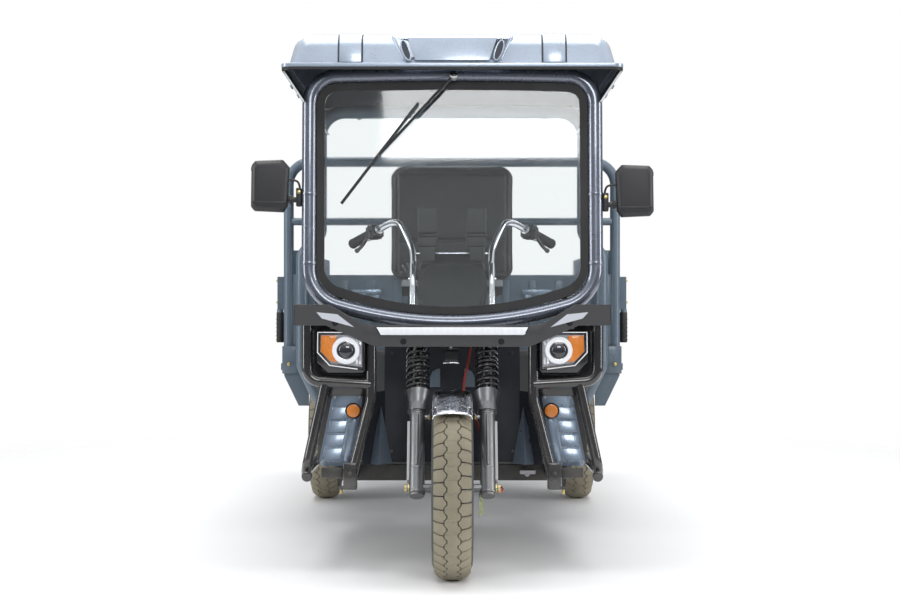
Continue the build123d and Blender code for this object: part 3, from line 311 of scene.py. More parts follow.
def finish_surface(name, colour, roughness, metallic=0.0, coat=0.0, flakes=0.0, grain=(300, 0.3, 0.0002),
                   wear=None, wear_amount=0.5, wear_width=0.002, dust=(0.15, 0.06), tone=0.10,
                   rough_drift=0.16,
                   sheen=0.0, dust_colour=(0.34, 0.31, 0.26, 1)):
    """An opaque finish. Grain is its scale, its share of pebbles and its height in metres."""
    material = bpy.data.materials.new(name)
    tree = clear_tree(material)
    toned = use_group(tree, tone_group, Color=(*colour, 1), Scale=2.4, Spread=tone)
    layer = toned.outputs["Color"]
    if flakes:
        layer = use_group(tree, flake_group, Color=layer, Scale=1100.0, Glitter=flakes).outputs["Color"]
    masks = []
    if wear:
        worn = use_group(tree, wear_group, Color=layer, Worn_Color=(*wear, 1), Amount=wear_amount,
                         Width=wear_width)
        layer = worn.outputs["Color"]
        masks.append((worn.outputs["Mask"], 0.38))
    dusted = use_group(tree, dust_group, Color=layer, Dust_Color=dust_colour, Low_Amount=dust[0],
                       Top_Amount=dust[1])
    masks.append((dusted.outputs["Mask"], 0.9))
    rough_noise = object_noise(tree, 14.0, 5.0, 0.6)
    rough = put(tree, "ShaderNodeMapRange", {0: rough_noise.outputs["Fac"], 1: 0.25, 2: 0.75,
                                             3: max(0.02, roughness - rough_drift / 2),
                                             4: min(1.0, roughness + rough_drift / 2)}).outputs[0]
    for mask, rough_there in masks:
        rough = put(tree, "ShaderNodeMix", {0: mask, 2: rough, 3: rough_there}).outputs[0]
    relief = use_group(tree, grain_group, Scale=float(grain[0]), Cells=float(grain[1]))
    bump = put(tree, "ShaderNodeBump", {"Height": relief.outputs["Height"], "Strength": 1.0,
                                        "Distance": grain[2]})
    shader = put(tree, "ShaderNodeBsdfPrincipled", {
        "Base Color": dusted.outputs["Color"], "Roughness": rough, "Metallic": metallic,
        "Coat Weight": coat, "Coat Roughness": 0.06, "Sheen Weight": sheen, "Normal": bump.outputs[0]})
    put(tree, "ShaderNodeOutputMaterial", {0: shader.outputs[0]})
    return material


# %% Paints, metals, plastics and rubbers
finishes = {
    "silver_blue": finish_surface("silver blue metallic paint", (0.235, 0.30, 0.385), 0.30, metallic=0.55,
        coat=0.8, flakes=0.5, grain=(160, 0, 0.00008), dust=(0.10, 0.05)),
    "roof_silver": finish_surface("silver roof gelcoat", (0.37, 0.435, 0.53), 0.32, metallic=0.35, coat=0.8,
        flakes=0.35, grain=(160, 0, 0.00008), dust=(0.10, 0.04)),
    "hoop_silver": finish_surface("grey blue tube paint", (0.150, 0.168, 0.212), 0.26, metallic=0.6, coat=0.9,
        flakes=0.4, grain=(160, 0, 0.00008), dust=(0.08, 0.04)),
    "dark_chrome": finish_surface("wavy chromed sheet", (0.30, 0.31, 0.35), 0.12, metallic=1.0, tone=0.2,
        rough_drift=0.1, grain=(34, 0.2, 0.0030), dust=(0.10, 0.03)),
    # A pale plate for the lit facet on the bumper's upper corners: a painted highlight.
    "painted_highlight": finish_surface("pale grey inlay", (0.56, 0.58, 0.64), 0.5, grain=(300, 0.3, 0.0002),
        dust=(0.05, 0.05)),
    "bed_paint": finish_surface("blue grey bed paint", (0.105, 0.145, 0.185), 0.42, metallic=0.15, coat=0.25,
        flakes=0.12, grain=(220, 0.2, 0.00018), wear=(0.30, 0.33, 0.36), wear_amount=0.35, dust=(0.22, 0.08)),
    "chassis": finish_surface("black chassis paint", (0.018, 0.019, 0.022), 0.44, coat=0.15,
        grain=(260, 0.3, 0.0003), wear=(0.12, 0.12, 0.13), wear_amount=0.3, dust=(0.34, 0.10)),
    "black_gloss": finish_surface("black gloss tube paint", (0.012, 0.012, 0.014), 0.22, coat=0.9,
        grain=(150, 0, 0.0001), wear=(0.14, 0.14, 0.15), wear_amount=0.25, dust=(0.20, 0.05)),
    "bumper_grey": finish_surface("matt bumper coating", (0.044, 0.044, 0.047), 0.52,
        grain=(700, 0.6, 0.0003), wear=(0.22, 0.22, 0.22), wear_amount=0.45, dust=(0.12, 0.06)),
    # The wheel well is silver blue in deep shade: this near-black navy is painted shade.
    "well_painted_shade": finish_surface("wheel well painted shade", (0.008, 0.011, 0.019), 0.72,
        grain=(220, 0.2, 0.0003), dust=(0.05, 0.03), rough_drift=0.1),
    "fork_grey": finish_surface("grey fork casting", (0.170, 0.175, 0.186), 0.33, metallic=0.85,
        grain=(420, 0.4, 0.00025), wear=(0.5, 0.5, 0.5), wear_amount=0.35, dust=(0.22, 0.05)),
    "spring_black": finish_surface("black spring enamel", (0.010, 0.010, 0.011), 0.14, coat=1.0,
        grain=(300, 0.2, 0.0001), dust=(0.08, 0.03)),
    "chrome": finish_surface("bright chrome", (0.72, 0.73, 0.76), 0.09, metallic=1.0, tone=0.04,
        rough_drift=0.08, grain=(90, 0, 0.00003), dust=(0.10, 0.03)),
    "zinc": finish_surface("yellow zinc plating", (0.62, 0.50, 0.20), 0.34, metallic=0.95, tone=0.3,
        grain=(500, 0.3, 0.0001), dust=(0.2, 0.05)),
    "steel": finish_surface("plain zinc steel", (0.42, 0.43, 0.45), 0.36, metallic=0.9, tone=0.14,
        grain=(600, 0.4, 0.0001), dust=(0.2, 0.06)),
    "cast_grey": finish_surface("cast aluminium", (0.33, 0.34, 0.35), 0.5, metallic=0.75,
        grain=(420, 0.7, 0.0006), dust=(0.35, 0.12)),
    "plastic": finish_surface("black moulded plastic", (0.022, 0.022, 0.024), 0.46, grain=(950, 0.8, 0.00022),
        wear=(0.10, 0.10, 0.10), wear_amount=0.3, dust=(0.10, 0.06)),
    # Glossy black plastic; its black discs over the bumper holes are painted shade.
    "gloss_black_and_shade": finish_surface("black glossy plastic", (0.014, 0.014, 0.016), 0.16, coat=0.6,
        grain=(200, 0.1, 0.00006), dust=(0.08, 0.04)),
    "rubber": finish_surface("black rubber", (0.016, 0.016, 0.017), 0.62, grain=(520, 0.5, 0.0003),
        dust=(0.18, 0.08)),
    "dark_panel": finish_surface("charcoal cab panel", (0.050, 0.052, 0.056), 0.55, grain=(420, 0.5, 0.0004),
        wear=(0.16, 0.16, 0.17), wear_amount=0.4, dust=(0.18, 0.14)),
    "rim_paint": finish_surface("silver wheel paint", (0.46, 0.47, 0.50), 0.36, metallic=0.7, coat=0.3,
        flakes=0.25, grain=(300, 0.2, 0.00015), dust=(0.5, 0.08)),
    "tyre_side": finish_surface("tyre sidewall rubber", (0.030, 0.034, 0.040), 0.66, grain=(260, 0.4, 0.0005),
        dust=(0.26, 0.08), tone=0.2),
    "tyre_tread": finish_surface("dusty tread rubber", (0.225, 0.200, 0.145), 0.84, grain=(240, 0.5, 0.0009),
        dust=(0.55, 0.18), tone=0.3, dust_colour=(0.40, 0.36, 0.265, 1)),
    "leather": finish_surface("black leatherette", (0.020, 0.020, 0.022), 0.42, sheen=0.12,
        grain=(330, 0.9, 0.0006), wear=(0.07, 0.07, 0.07), wear_amount=0.3, wear_width=0.006,
        dust=(0.0, 0.10)),
    "fibre_edge": finish_surface("raw fibreglass edge", (0.80, 0.82, 0.82), 0.7, grain=(400, 0.3, 0.0006),
        dust=(0.0, 0.1), tone=0.16),
    # Navy lining inside the roof, also used as painted shade in its grooves and vent openings.
    "lining_and_shade": finish_surface("navy roof lining", (0.020, 0.026, 0.040), 0.5, grain=(60, 0.2, 0.002),
        dust=(0, 0), tone=0.25),
    "plate_white": finish_surface("blank plate enamel", (0.72, 0.72, 0.70), 0.35, grain=(200, 0.2, 0.0001),
        dust=(0.3, 0.08)),
    "red_hose": finish_surface("red cable sleeve", (0.36, 0.028, 0.014), 0.42, grain=(600, 0.4, 0.0002),
        dust=(0.12, 0.04)),
    "tape_grey": finish_surface("grey reflector tape", (0.42, 0.43, 0.44), 0.42, grain=(1500, 1.0, 0.0003),
        dust=(0.3, 0.05)),
    "spring_green": finish_surface("yellow green spring", (0.50, 0.58, 0.10), 0.35, metallic=0.4,
        grain=(500, 0.2, 0.0001), dust=(0.1, 0.02)),
    "lamp_bowl": finish_surface("lamp reflector", (0.82, 0.83, 0.86), 0.22, metallic=0.9, tone=0.05,
        rough_drift=0.1, grain=(70, 0.9, 0.0012), dust=(0, 0)),
    "lamp_ring": finish_surface("milk lamp ring", (0.86, 0.88, 0.92), 0.4, tone=0.04,
        grain=(300, 0.4, 0.0002), dust=(0, 0)),
}
print(len(finishes), "opaque finishes")

# %% [markdown]
# Glass is a clear shader with hardly any roughness. A lamp lens is coloured plastic that lets some light
# in, with rows of small prisms pressed into it: a wave pattern in two directions gives their relief.


# %% Glass and lamp lenses
def glass_surface(name, colour, roughness):
    """Clear glass with a faint film of dust in its roughness."""
    material = bpy.data.materials.new(name)
    tree = clear_tree(material)
    film = object_noise(tree, 5.0, 5.0, 0.6)
    rough = put(tree, "ShaderNodeMapRange", {0: film.outputs["Fac"], 1: 0.3, 2: 0.8, 3: roughness,
                                             4: roughness + 0.05})
    shader = put(tree, "ShaderNodeBsdfPrincipled", {
        "Base Color": (*colour, 1), "Roughness": rough.outputs[0], "Transmission Weight": 1.0, "IOR": 1.45})
    put(tree, "ShaderNodeOutputMaterial", {0: shader.outputs[0]})
    return material


prism_rows = 70.0


def lens_surface(name, colour, transmission):
    """Moulded lamp plastic with rows of prisms."""
    material = bpy.data.materials.new(name)
    tree = clear_tree(material)
    place = put(tree, "ShaderNodeTexCoord")
    across = put(tree, "ShaderNodeTexWave", {"Vector": place.outputs["Object"], "Scale": prism_rows},
                 bands_direction="X")
    upward = put(tree, "ShaderNodeTexWave", {"Vector": place.outputs["Object"], "Scale": prism_rows},
                 bands_direction="Z")
    prisms = put(tree, "ShaderNodeMath", {0: across.outputs["Fac"], 1: upward.outputs["Fac"]},
                 operation="MAXIMUM")
    bump = put(tree, "ShaderNodeBump", {"Height": prisms.outputs[0], "Strength": 0.7, "Distance": 0.0012})
    toned = use_group(tree, tone_group, Color=(*colour, 1), Scale=20.0, Spread=0.12)
    shader = put(tree, "ShaderNodeBsdfPrincipled", {
        "Base Color": toned.outputs["Color"], "Roughness": 0.16, "Transmission Weight": transmission,
        "IOR": 1.49, "Coat Weight": 0.6, "Coat Roughness": 0.04, "Normal": bump.outputs[0]})
    put(tree, "ShaderNodeOutputMaterial", {0: shader.outputs[0]})
    return material


finishes["glass"] = glass_surface("windshield glass", (0.90, 0.94, 0.95), 0.01)
finishes["projector"] = finish_surface("dark projector glass", (0.02, 0.022, 0.03), 0.06, coat=1.0,
                                       grain=(200, 0, 0.00003), dust=(0, 0), rough_drift=0.04)
finishes["amber"] = lens_surface("amber lens", (0.90, 0.27, 0.02), 0.25)
finishes["red_lens"] = lens_surface("red lens", (0.62, 0.015, 0.012), 0.2)
finishes["white_lens"] = lens_surface("white lens", (0.86, 0.88, 0.90), 0.3)
finishes["mirror_glass"] = finish_surface("mirror glass", (0.80, 0.82, 0.84), 0.03, metallic=1.0, tone=0.02,
                                          rough_drift=0.03, grain=(40, 0, 0.00001), dust=(0, 0))

# %% [markdown]
# Every piece of the frame gets its finish by name. Pieces that are modelled again further down replace
# theirs there, and the rest keep their solid with the better surface.

# %% Finishes of the frame's own pieces
node_finish = {
    "front_tyre": "tyre_side", "rear_tyre_left": "tyre_side", "rear_tyre_right": "tyre_side",
    "front_rim": "rim_paint", "rear_rim_left": "rim_paint", "rear_rim_right": "rim_paint",
    "fork": "fork_grey", "fork_springs": "spring_black", "front_mudguard": "chrome",
    "brake_cable": "red_hose", "handlebar": "chrome", "console": "plastic", "grips": "rubber",
    "chassis_frame": "chassis", "front_uprights": "chassis", "steering_head": "chassis",
    "cab_floor": "dark_panel", "wheel_well": "well_painted_shade", "leg_shields": "silver_blue",
    "front_hoop": "hoop_silver", "windshield_rubber": "rubber", "windshield_glass": "glass",
    "wiper": "gloss_black_and_shade", "mirrors": "plastic", "rear_hoop": "bed_paint", "roof_shell": "roof_silver",
    "roof_edge_rubber": "rubber", "bumper": "bumper_grey", "light_strip": "white_lens",
    "headlights": "gloss_black_and_shade", "guard_bars": "black_gloss", "side_reflectors": "amber",
    "seat_box": "dark_panel", "battery_block": "plastic", "seat_cushion": "leather",
    "backrest": "leather", "backrest_straps": "chassis", "headboard_frame": "bed_paint",
    "headboard_panel": "bed_paint", "bed_frame": "bed_paint", "bed_floor": "bed_paint",
    "side_gate_left": "bed_paint", "side_gate_right": "bed_paint", "side_latch_left": "bed_paint",
    "side_latch_right": "bed_paint", "tailgate": "bed_paint", "tail_latches": "bed_paint",
    "rear_axle": "chassis", "drive_motor": "cast_grey", "leaf_springs": "chassis",
    "tail_lamps": "red_lens", "rear_plate": "plate_white", "mud_flaps": "rubber", "brake_pedal": "steel",
}
for name, finish in node_finish.items():
    for material_slot in nodes[name].material_slots:
        material_slot.material = finishes[finish]
unnamed = sorted(set(nodes) - set(node_finish))
print("frame pieces without a finish:", unnamed)

# %% [markdown]
# The helpers below are the few moves that a modeller repeats: clear the selection, add a primitive at
# its size, bevel its edges, push an outline out to a plate, bend a rod along points, join the parts,
# and hand the finished piece over to the body that carries it.


# %% Modelling helpers
def calm():
    """Leave every object unselected."""
    bpy.ops.object.select_all(action="DESELECT")


def select_only(*parts):
    """Select the given objects and make the first one active."""
    calm()
    for part in parts:
        part.select_set(True)
    bpy.context.view_layer.objects.active = parts[0]


def modify(part, kind, **settings):
    """Apply one modifier with its settings to a part."""
    select_only(part)
    modifier = part.modifiers.new(kind.lower(), kind)
    for name, value in settings.items():
        setattr(modifier, name, value)
    bpy.ops.object.modifier_apply(modifier=modifier.name)
    return part


def soften(part, width, segments=2, angle=32):
    """Round the sharp edges of a part."""
    return modify(part, "BEVEL", width=width, segments=segments, limit_method="ANGLE",
                  angle_limit=radians(angle))


def edit_all(part, *operators):
    """Run operators on all of a part's mesh, and leave its faces pointing outwards."""
    select_only(part)
    bpy.ops.object.mode_set(mode="EDIT")
    for operator, settings in operators:
        bpy.ops.mesh.select_all(action="SELECT")
        operator(**settings)
    bpy.ops.mesh.select_all(action="SELECT")
    bpy.ops.mesh.normals_make_consistent(inside=False)
    bpy.ops.object.mode_set(mode="OBJECT")
    return part


def block(low, high, width=0.0, segments=2):
    """A box between two corners, with softened edges."""
    low, high = Vector(low), Vector(high)
    calm()
    bpy.ops.mesh.primitive_cube_add(size=1, location=(low + high) / 2)
    part = bpy.context.object
    part.scale = high - low
    bpy.ops.object.transform_apply(location=True, rotation=True, scale=True)
    return soften(part, width, segments) if width else part


def side_box(side, xs, ys, zs, width=0.0, segments=2):
    """A block given by its ranges, with x counted outwards on one side."""
    ends = sorted(side * x for x in xs)
    return block((ends[0], ys[0], zs[0]), (ends[1], ys[1], zs[1]), width, segments)


def rod(start, end, radius, width=0.0, sides=20, end_radius=None):
    """A round bar or cone from one point to another."""
    start, end = Vector(start), Vector(end)
    turn = (end - start).to_track_quat("Z", "Y").to_euler()
    calm()
    bpy.ops.mesh.primitive_cone_add(vertices=sides, radius1=radius, depth=(end - start).length,
                                    radius2=radius if end_radius is None else end_radius,
                                    location=(start + end) / 2, rotation=turn)
    part = bpy.context.object
    bpy.ops.object.transform_apply(location=True, rotation=True, scale=True)
    return soften(part, width) if width else part


def plate(corners, push, width=0.0, segments=2):
    """A flat outline pushed out to a thickness."""
    calm()
    bpy.ops.mesh.primitive_circle_add(vertices=len(corners), fill_type="NGON")
    part = bpy.context.object
    for vertex, corner in zip(part.data.vertices, corners):
        vertex.co = Vector(corner)
    edit_all(part, (bpy.ops.mesh.extrude_region_move, {"TRANSFORM_OT_translate": {"value": Vector(push)}}))
    return soften(part, width, segments) if width else part


def front_plate(outline, side, y, push, width=0.0, segments=2):
    """A plate from its front view on one side: x outwards and z, at a depth y."""
    return plate([(side * x, y, z) for x, z in outline], (0, push, 0), width, segments)


def side_rod(side, start, end, radius, width=0.0, sides=20, end_radius=None):
    """A rod with the x of both its ends counted outwards on one side."""
    return rod((side * start[0], *start[1:]), (side * end[0], *end[1:]), radius, width, sides, end_radius)


def bent_rod(points, radius, smooth=True, sides=3, cyclic=False):
    """A round wire or tube through points, rounded where they turn if smooth, and made a mesh."""
    calm()
    bpy.ops.curve.primitive_bezier_curve_add()
    part = bpy.context.object
    curve = part.data
    curve.splines.clear()
    spline = curve.splines.new("NURBS" if smooth else "POLY")
    spline.points.add(len(points) - 1)
    for point, place in zip(spline.points, points):
        point.co = (*place, 1)
    if smooth:
        spline.order_u = 3
        spline.use_endpoint_u = not cyclic
        spline.resolution_u = 6
    spline.use_cyclic_u = cyclic
    curve.dimensions = "3D"
    curve.bevel_depth = radius
    curve.bevel_resolution = sides
    curve.use_fill_caps = not cyclic
    bpy.ops.object.convert(target="MESH")
    return bpy.context.object


def copy_of(part, move):
    """A copy with its own mesh, moved by a matrix."""
    calm()
    twin = part.copy()
    twin.data = part.data.copy()
    twin.data.transform(move)
    if move.determinant() < 0:
        twin.data.flip_normals()
    bpy.context.collection.objects.link(twin)
    return twin


def mirrored(part):
    """The same part on the other side of the vehicle."""
    return copy_of(part, Matrix.Scale(-1, 4, (1, 0, 0)))


def painted(finish, *parts):
    """Give parts one finish, before they are joined with others."""
    for part in parts:
        part.data.materials.clear()
        part.data.materials.append(finishes[finish])
    return list(parts)


def hand_over(name, body, parts, replaces=(), smooth=38):
    """Join parts to one named piece, smooth it, and let it ride on its body."""
    select_only(*parts)
    if len(parts) > 1:
        bpy.ops.object.join()
    piece = bpy.context.object
    piece.name = name
    piece.data.name = name
    bpy.ops.object.transform_apply(location=True, rotation=True, scale=True)
    bpy.ops.object.shade_smooth_by_angle(angle=radians(smooth))
    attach(piece, body)
    if replaces:
        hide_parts(*replaces)
    print(name, len(piece.data.polygons), "faces")
    return piece


def steer_point(x, back, along):
    """A point of the steered assembly, by its distances from the steering axis and along it."""
    rake = radians(30)
    foot = Vector((0, front_axle.y + 0.05 * cos(rake), wheel_radius - 0.05 * sin(rake)))
    return foot + Vector((x, back * cos(rake) + along * sin(rake), along * cos(rake) - back * sin(rake)))

# %% [markdown]
# The tyres carry blocks with pointed inner edges in two rows, staggered, and a zigzag rib between them.
# One pitch is modelled flat, as if the tread were unrolled: across the tyre in X, along the road in Y.
# It is then repeated and wrapped round the axle, and the carcass under it is spun from its section.

# %% Tread: one pitch, modelled flat
pitch_count = 43
pitch = 2 * pi * wheel_radius / pitch_count
groove_depth = 0.008
# The crown is flat in the middle, slopes from there and falls faster at the shoulder
flat_half, crown_slope = 0.027, 0.519
shoulder_at, shoulder_slope = 0.050, 0.9
# Corners of a shoulder block and of the zigzag rib: across, and along the road as a share of the pitch
shoulder_corners = ((0.0268, -0.450), (0.0268, -0.325), (0.0181, -0.090), (0.0181, 0.090), (0.0268, 0.325),
                    (0.0268, 0.450), (0.0460, 0.455), (0.0570, 0.400), (0.0570, -0.400), (0.0460, -0.455))
rib_corners = ((0.0150, -0.5), (0.0237, -0.30), (0.0237, 0.05), (0.0150, 0.25), (0.0150, 0.5), (-0.0237, 0.5),
               (-0.0237, 0.20), (-0.0150, 0.0), (-0.0150, -0.25), (-0.0237, -0.45), (-0.0237, -0.5))


def tread_crown(across):
    """How far the tread's crown lies from the axle, at a distance from the tyre's middle."""
    beyond_flat = max(0.0, abs(across) - flat_half)
    beyond_shoulder = max(0.0, abs(across) - shoulder_at)
    return wheel_radius - crown_slope * beyond_flat - beyond_shoulder * shoulder_slope


def tread_block(corners, width):
    """One block standing on the carcass, its top edges worn round."""
    lifted = [(across, share * pitch, -groove_depth - 0.002) for across, share in corners]
    return soften(plate(lifted, (0, 0, groove_depth + 0.002)), width, 2, 50)


right_block = tread_block(shoulder_corners, 0.0009)
right_block.data.transform(Matrix.Translation((0, 0.375 * pitch, 0)))
left_block = copy_of(right_block, Matrix.Translation((0, -pitch / 2, 0)) @ Matrix.Scale(-1, 4, (1, 0, 0)))
rib_block = tread_block(rib_corners, 0.0006)
select_only(right_block, left_block, rib_block)
bpy.ops.object.join()
one_pitch = bpy.context.object
modify(one_pitch, "ARRAY", count=pitch_count, use_relative_offset=False, use_constant_offset=True,
       constant_offset_displace=(0, pitch, 0))
print("flat tread", len(one_pitch.data.polygons), "faces,", pitch_count, "pitches")

# %% [markdown]
# The carcass is a closed section spun about the axle: a base under the tread, bulged sidewalls with a
# raised ring, and a bead that sits on the rim. Spinning leaves a doubled ring where it closes, which is
# merged before the normals are made to point outwards.

# %% Carcass and treaded tyres
# Half section of the carcass: across from the middle, distance from the axle
carcass_half = ((0.0, 0.2735), (0.028, 0.2735), (0.048, 0.2635), (0.0555, 0.2560), (0.0605, 0.2400),
                (0.0618, 0.2385), (0.0632, 0.2300), (0.0636, 0.2150), (0.0625, 0.2020), (0.0600, 0.1960),
                (0.0612, 0.1940), (0.0590, 0.1850), (0.0530, 0.1720), (0.0480, 0.1610), (0.0465, 0.1560),
                (0.0440, 0.1524), (0.0300, 0.1524))


def spun(section, centre, steps):
    """A closed section, given across and outwards, spun about an axle along X."""
    calm()
    bpy.ops.mesh.primitive_circle_add(vertices=len(section), fill_type="NOTHING")
    part = bpy.context.object
    for vertex, (across, outward) in zip(part.data.vertices, section):
        vertex.co = Vector(centre) + Vector((across, 0, outward))
    return edit_all(part, (bpy.ops.mesh.spin, {"steps": steps, "angle": 2 * pi, "center": centre,
                                               "axis": (1, 0, 0)}),
                    (bpy.ops.mesh.remove_doubles, {"threshold": 0.00005}))


def facing_road(part, x, y, z):
    """Turn a part that was spun about X to face the road, and put it in its place."""
    part.data.transform(Matrix.Translation((x, y, z)) @ Matrix.Rotation(radians(-90), 4, "Z"))
    return part


def treaded_tyre(name, body, node):
    """A carcass with its wrapped tread, at a tyre of the frame."""
    low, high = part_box(node)
    centre = (low + high) / 2
    section = carcass_half + tuple((-across, outward) for across, outward in reversed(carcass_half[1:]))
    carcass = spun(section, centre, 96)
    tread = copy_of(one_pitch, Matrix.Identity(4))
    for vertex in tread.data.vertices:
        across, along, lift = vertex.co
        turn = along / wheel_radius
        outward = tread_crown(across) + lift
        vertex.co = centre + Vector((across, outward * sin(turn), outward * cos(turn)))
    tread.data.update()
    tyre_parts = painted("tyre_side", carcass) + painted("tyre_tread", edit_all(tread))
    hand_over(name, body, tyre_parts, (node,), smooth=30)


wheels = (("front", "front_wheel", -1), ("rear_left", "rear_wheel_left", 1),
          ("rear_right", "rear_wheel_right", -1))
tyre_nodes = {"front": "front_tyre", "rear_left": "rear_tyre_left", "rear_right": "rear_tyre_right"}
for place, body, side in wheels:
    treaded_tyre(f"{place}_treaded_tyre", body, tyre_nodes[place])
bpy.data.objects.remove(one_pitch)

# %% [markdown]
# Each hub shows a pressed dust cap inside a ring of wheel nuts, and a valve stem stands in the disc.
# Cooling ribs run round the drum. They are small, so they share one piece per wheel.

# %% Hub fittings
nut_count = 5
nut_ring = 0.052


def hub_fittings(name, body, node, side):
    """Nuts, cap, valve and the drum's cooling ribs on one wheel."""
    low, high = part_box(node)
    centre = (low + high) / 2
    hub_face = centre.x + side * 0.015
    hub_end = centre.x + side * 0.045
    parts = painted("zinc", *[
        rod(centre + Vector((hub_face - centre.x - side * 0.001, nut_ring * sin(turn), nut_ring * cos(turn))),
            centre + Vector((hub_face - centre.x + side * 0.012, nut_ring * sin(turn), nut_ring * cos(turn))),
            0.0095, 0.0012, sides=6)
        for turn in [2 * pi * index / nut_count for index in range(nut_count)]])
    cap_section = ((0.0, 0.0), (0.0, 0.030), (0.004, 0.031), (0.006, 0.027), (0.012, 0.024), (0.015, 0.016),
                   (0.016, 0.0))
    cap = spun([(side * across, outward) for across, outward in cap_section],
               (hub_end, centre.y, centre.z), 36)
    ribs = [spun([(side * (-0.045 + 0.011 * index + across), outward) for across, outward in
                  ((0.0, 0.105), (0.0, 0.111), (0.004, 0.111), (0.004, 0.105))], centre, 60)
            for index in range(3)]
    valve = rod(centre + Vector((side * 0.012, 0.0, 0.132)), centre + Vector((side * 0.040, 0.0, 0.122)),
                0.0032, sides=12)
    valve_cap = rod(centre + Vector((side * 0.036, 0.0, 0.1234)),
                    centre + Vector((side * 0.047, 0.0, 0.1195)),
                    0.0042, 0.0008, sides=12)
    parts += painted("steel", cap, valve) + painted("rubber", valve_cap) + painted("cast_grey", *ribs)
    hand_over(name, body, parts)


rim_nodes = {"front": "front_rim", "rear_left": "rear_rim_left", "rear_right": "rear_rim_right"}
for place, body, side in wheels:
    hub_fittings(f"{place}_hub_fittings", body, rim_nodes[place], side)

# %% [markdown]
# Two black coil springs stand round the upper fork tubes. A coil is a helix, worked out by a loop of
# points, with its first and last turns lying closer, as ground spring ends do.

# %% Fork springs and dampers
leg_x = 0.111
leg_back = -0.05
spring_low = 0.3345
spring_high = 0.5385
spring_turns = 10
coil_radius = 0.0343
wire_radius = 0.0044


def leg_rod(side, start, end, radius, width=0.0, sides=20, end_radius=None, x=leg_x, back=leg_back):
    """A rod that runs along the steering axis, as a fork leg does."""
    return rod(steer_point(side * x, back, start), steer_point(side * x, back, end), radius, width, sides,
               end_radius)


def coil_points(x):
    """Points of one spring, from its lower to its upper seat."""
    points = []
    steps = spring_turns * 18
    for step in range(steps + 1):
        share = step / steps
        turn = 2 * pi * spring_turns * share
        even = share - 0.35 * sin(4 * pi * share) / (4 * pi)
        along = spring_low + wire_radius + (spring_high - spring_low - 2 * wire_radius) * even
        points.append(steer_point(x + coil_radius * cos(turn), leg_back + coil_radius * sin(turn), along))
    return points


springs = [bent_rod(coil_points(side * leg_x), wire_radius, smooth=False, sides=2) for side in (-1, 1)]
dampers = [leg_rod(side, spring_low - 0.001, spring_high + 0.001, 0.0165, sides=28) for side in (-1, 1)]
seats = [leg_rod(side, at, at + 0.004, 0.0390, 0.0012, 32) for side in (-1, 1) for at in (0.3300, 0.5355)]
fork_parts = painted("spring_black", *springs, *seats, *dampers)
hand_over("coil_springs", "steering", fork_parts, ("fork_springs",), smooth=60)

# %% [markdown]
# The lower legs are castings: a clamp ring under each spring, a rib down the front, tape on the outer
# side, and the axle's nuts in yellow zinc at their feet. A green spring pulls the brake arm back.

# %% Fork fittings
fork_parts = []
for side in (-1, 1):
    for at, reach in ((0.258, 0.0272), (0.250, 0.0262), (0.060, 0.0258), (-0.020, 0.0264)):
        fork_parts += painted("fork_grey", leg_rod(side, at, at + 0.006, reach, 0.0012, 32))
    front_rib = leg_rod(side, 0.070, 0.245, 0.0055, sides=12, back=leg_back - 0.0235)
    fork_parts += painted("fork_grey", front_rib)
    tape_x = side * (leg_x + 0.0228)
    tape_corners = [steer_point(tape_x, leg_back + back, along) for back, along in
                    ((-0.014, 0.022), (0.014, 0.022), (0.014, 0.225), (-0.014, 0.225))]
    fork_parts += painted("tape_grey", plate(tape_corners, (side * 0.0085, 0, 0), 0.0012))
    for reach, nut_radius, thick in ((0.1345, 0.0150, 0.004), (0.1385, 0.0125, 0.011)):
        nut = side_rod(side, (reach, front_axle.y, wheel_radius),
                       ((reach + thick), front_axle.y, wheel_radius),
                  nut_radius, 0.001, sides=6 if thick > 0.005 else 24)
        fork_parts += painted("zinc", nut)
    cone = leg_rod(side, 0.262, 0.3330, 0.0255, sides=40, end_radius=0.0412)
    sleeve = leg_rod(side, -0.018, 0.264, 0.0248, sides=40)
    fork_parts += painted("fork_grey", cone, sleeve)
    pin = rod(steer_point(side * (leg_x - 0.036), leg_back, 0.246),
              steer_point(side * leg_x, leg_back, 0.246),
              0.0065, 0.001, sides=16)
    pin_head = rod(steer_point(side * (leg_x - 0.041), leg_back, 0.246),
                   steer_point(side * (leg_x - 0.035), leg_back, 0.246), 0.0095, 0.001, sides=6)
    fork_parts += painted("steel", pin) + painted("zinc", pin_head)
brake_arm = plate([steer_point(0.083, back, along) for back, along in
                   ((-0.010, 0.028), (0.006, 0.034), (0.020, -0.070), (0.010, -0.075))], (0.004, 0, 0), 0.001)
return_spring = bent_rod([steer_point(0.089 + 0.0055 * cos(2 * pi * step / 10),
                                      0.004 + 0.0055 * sin(2 * pi * step / 10),
                                      -0.066 + 0.078 * step / 120) for step in range(121)], 0.0011, False, 1)
cable_end = bent_rod([steer_point(x, back, along) for x, back, along in
                      ((0.124, -0.040, -0.010), (0.136, -0.030, -0.004), (0.150, -0.012, 0.004),
                       (0.160, 0.006, 0.016), (0.158, 0.022, 0.034), (0.140, 0.030, 0.048),
                       (0.116, 0.010, 0.052), (0.110, -0.019, 0.050))], 0.0028)
fork_parts += painted("steel", brake_arm) + painted("spring_green", return_spring) + painted("red_hose",
                                                                                             cable_end)
hand_over("fork_fittings", "steering", fork_parts)

# %% [markdown]
# The front mudguard is chromed sheet. Its section is a low arch with a rolled bead at each edge, and the
# section is swept round the wheel. Thin stays hold it to pins on the fork legs.

# %% Mudguard
guard_radius = 0.302
guard_half = 0.059
guard_from = radians(-37)
guard_to = radians(70)
guard_steps = 36
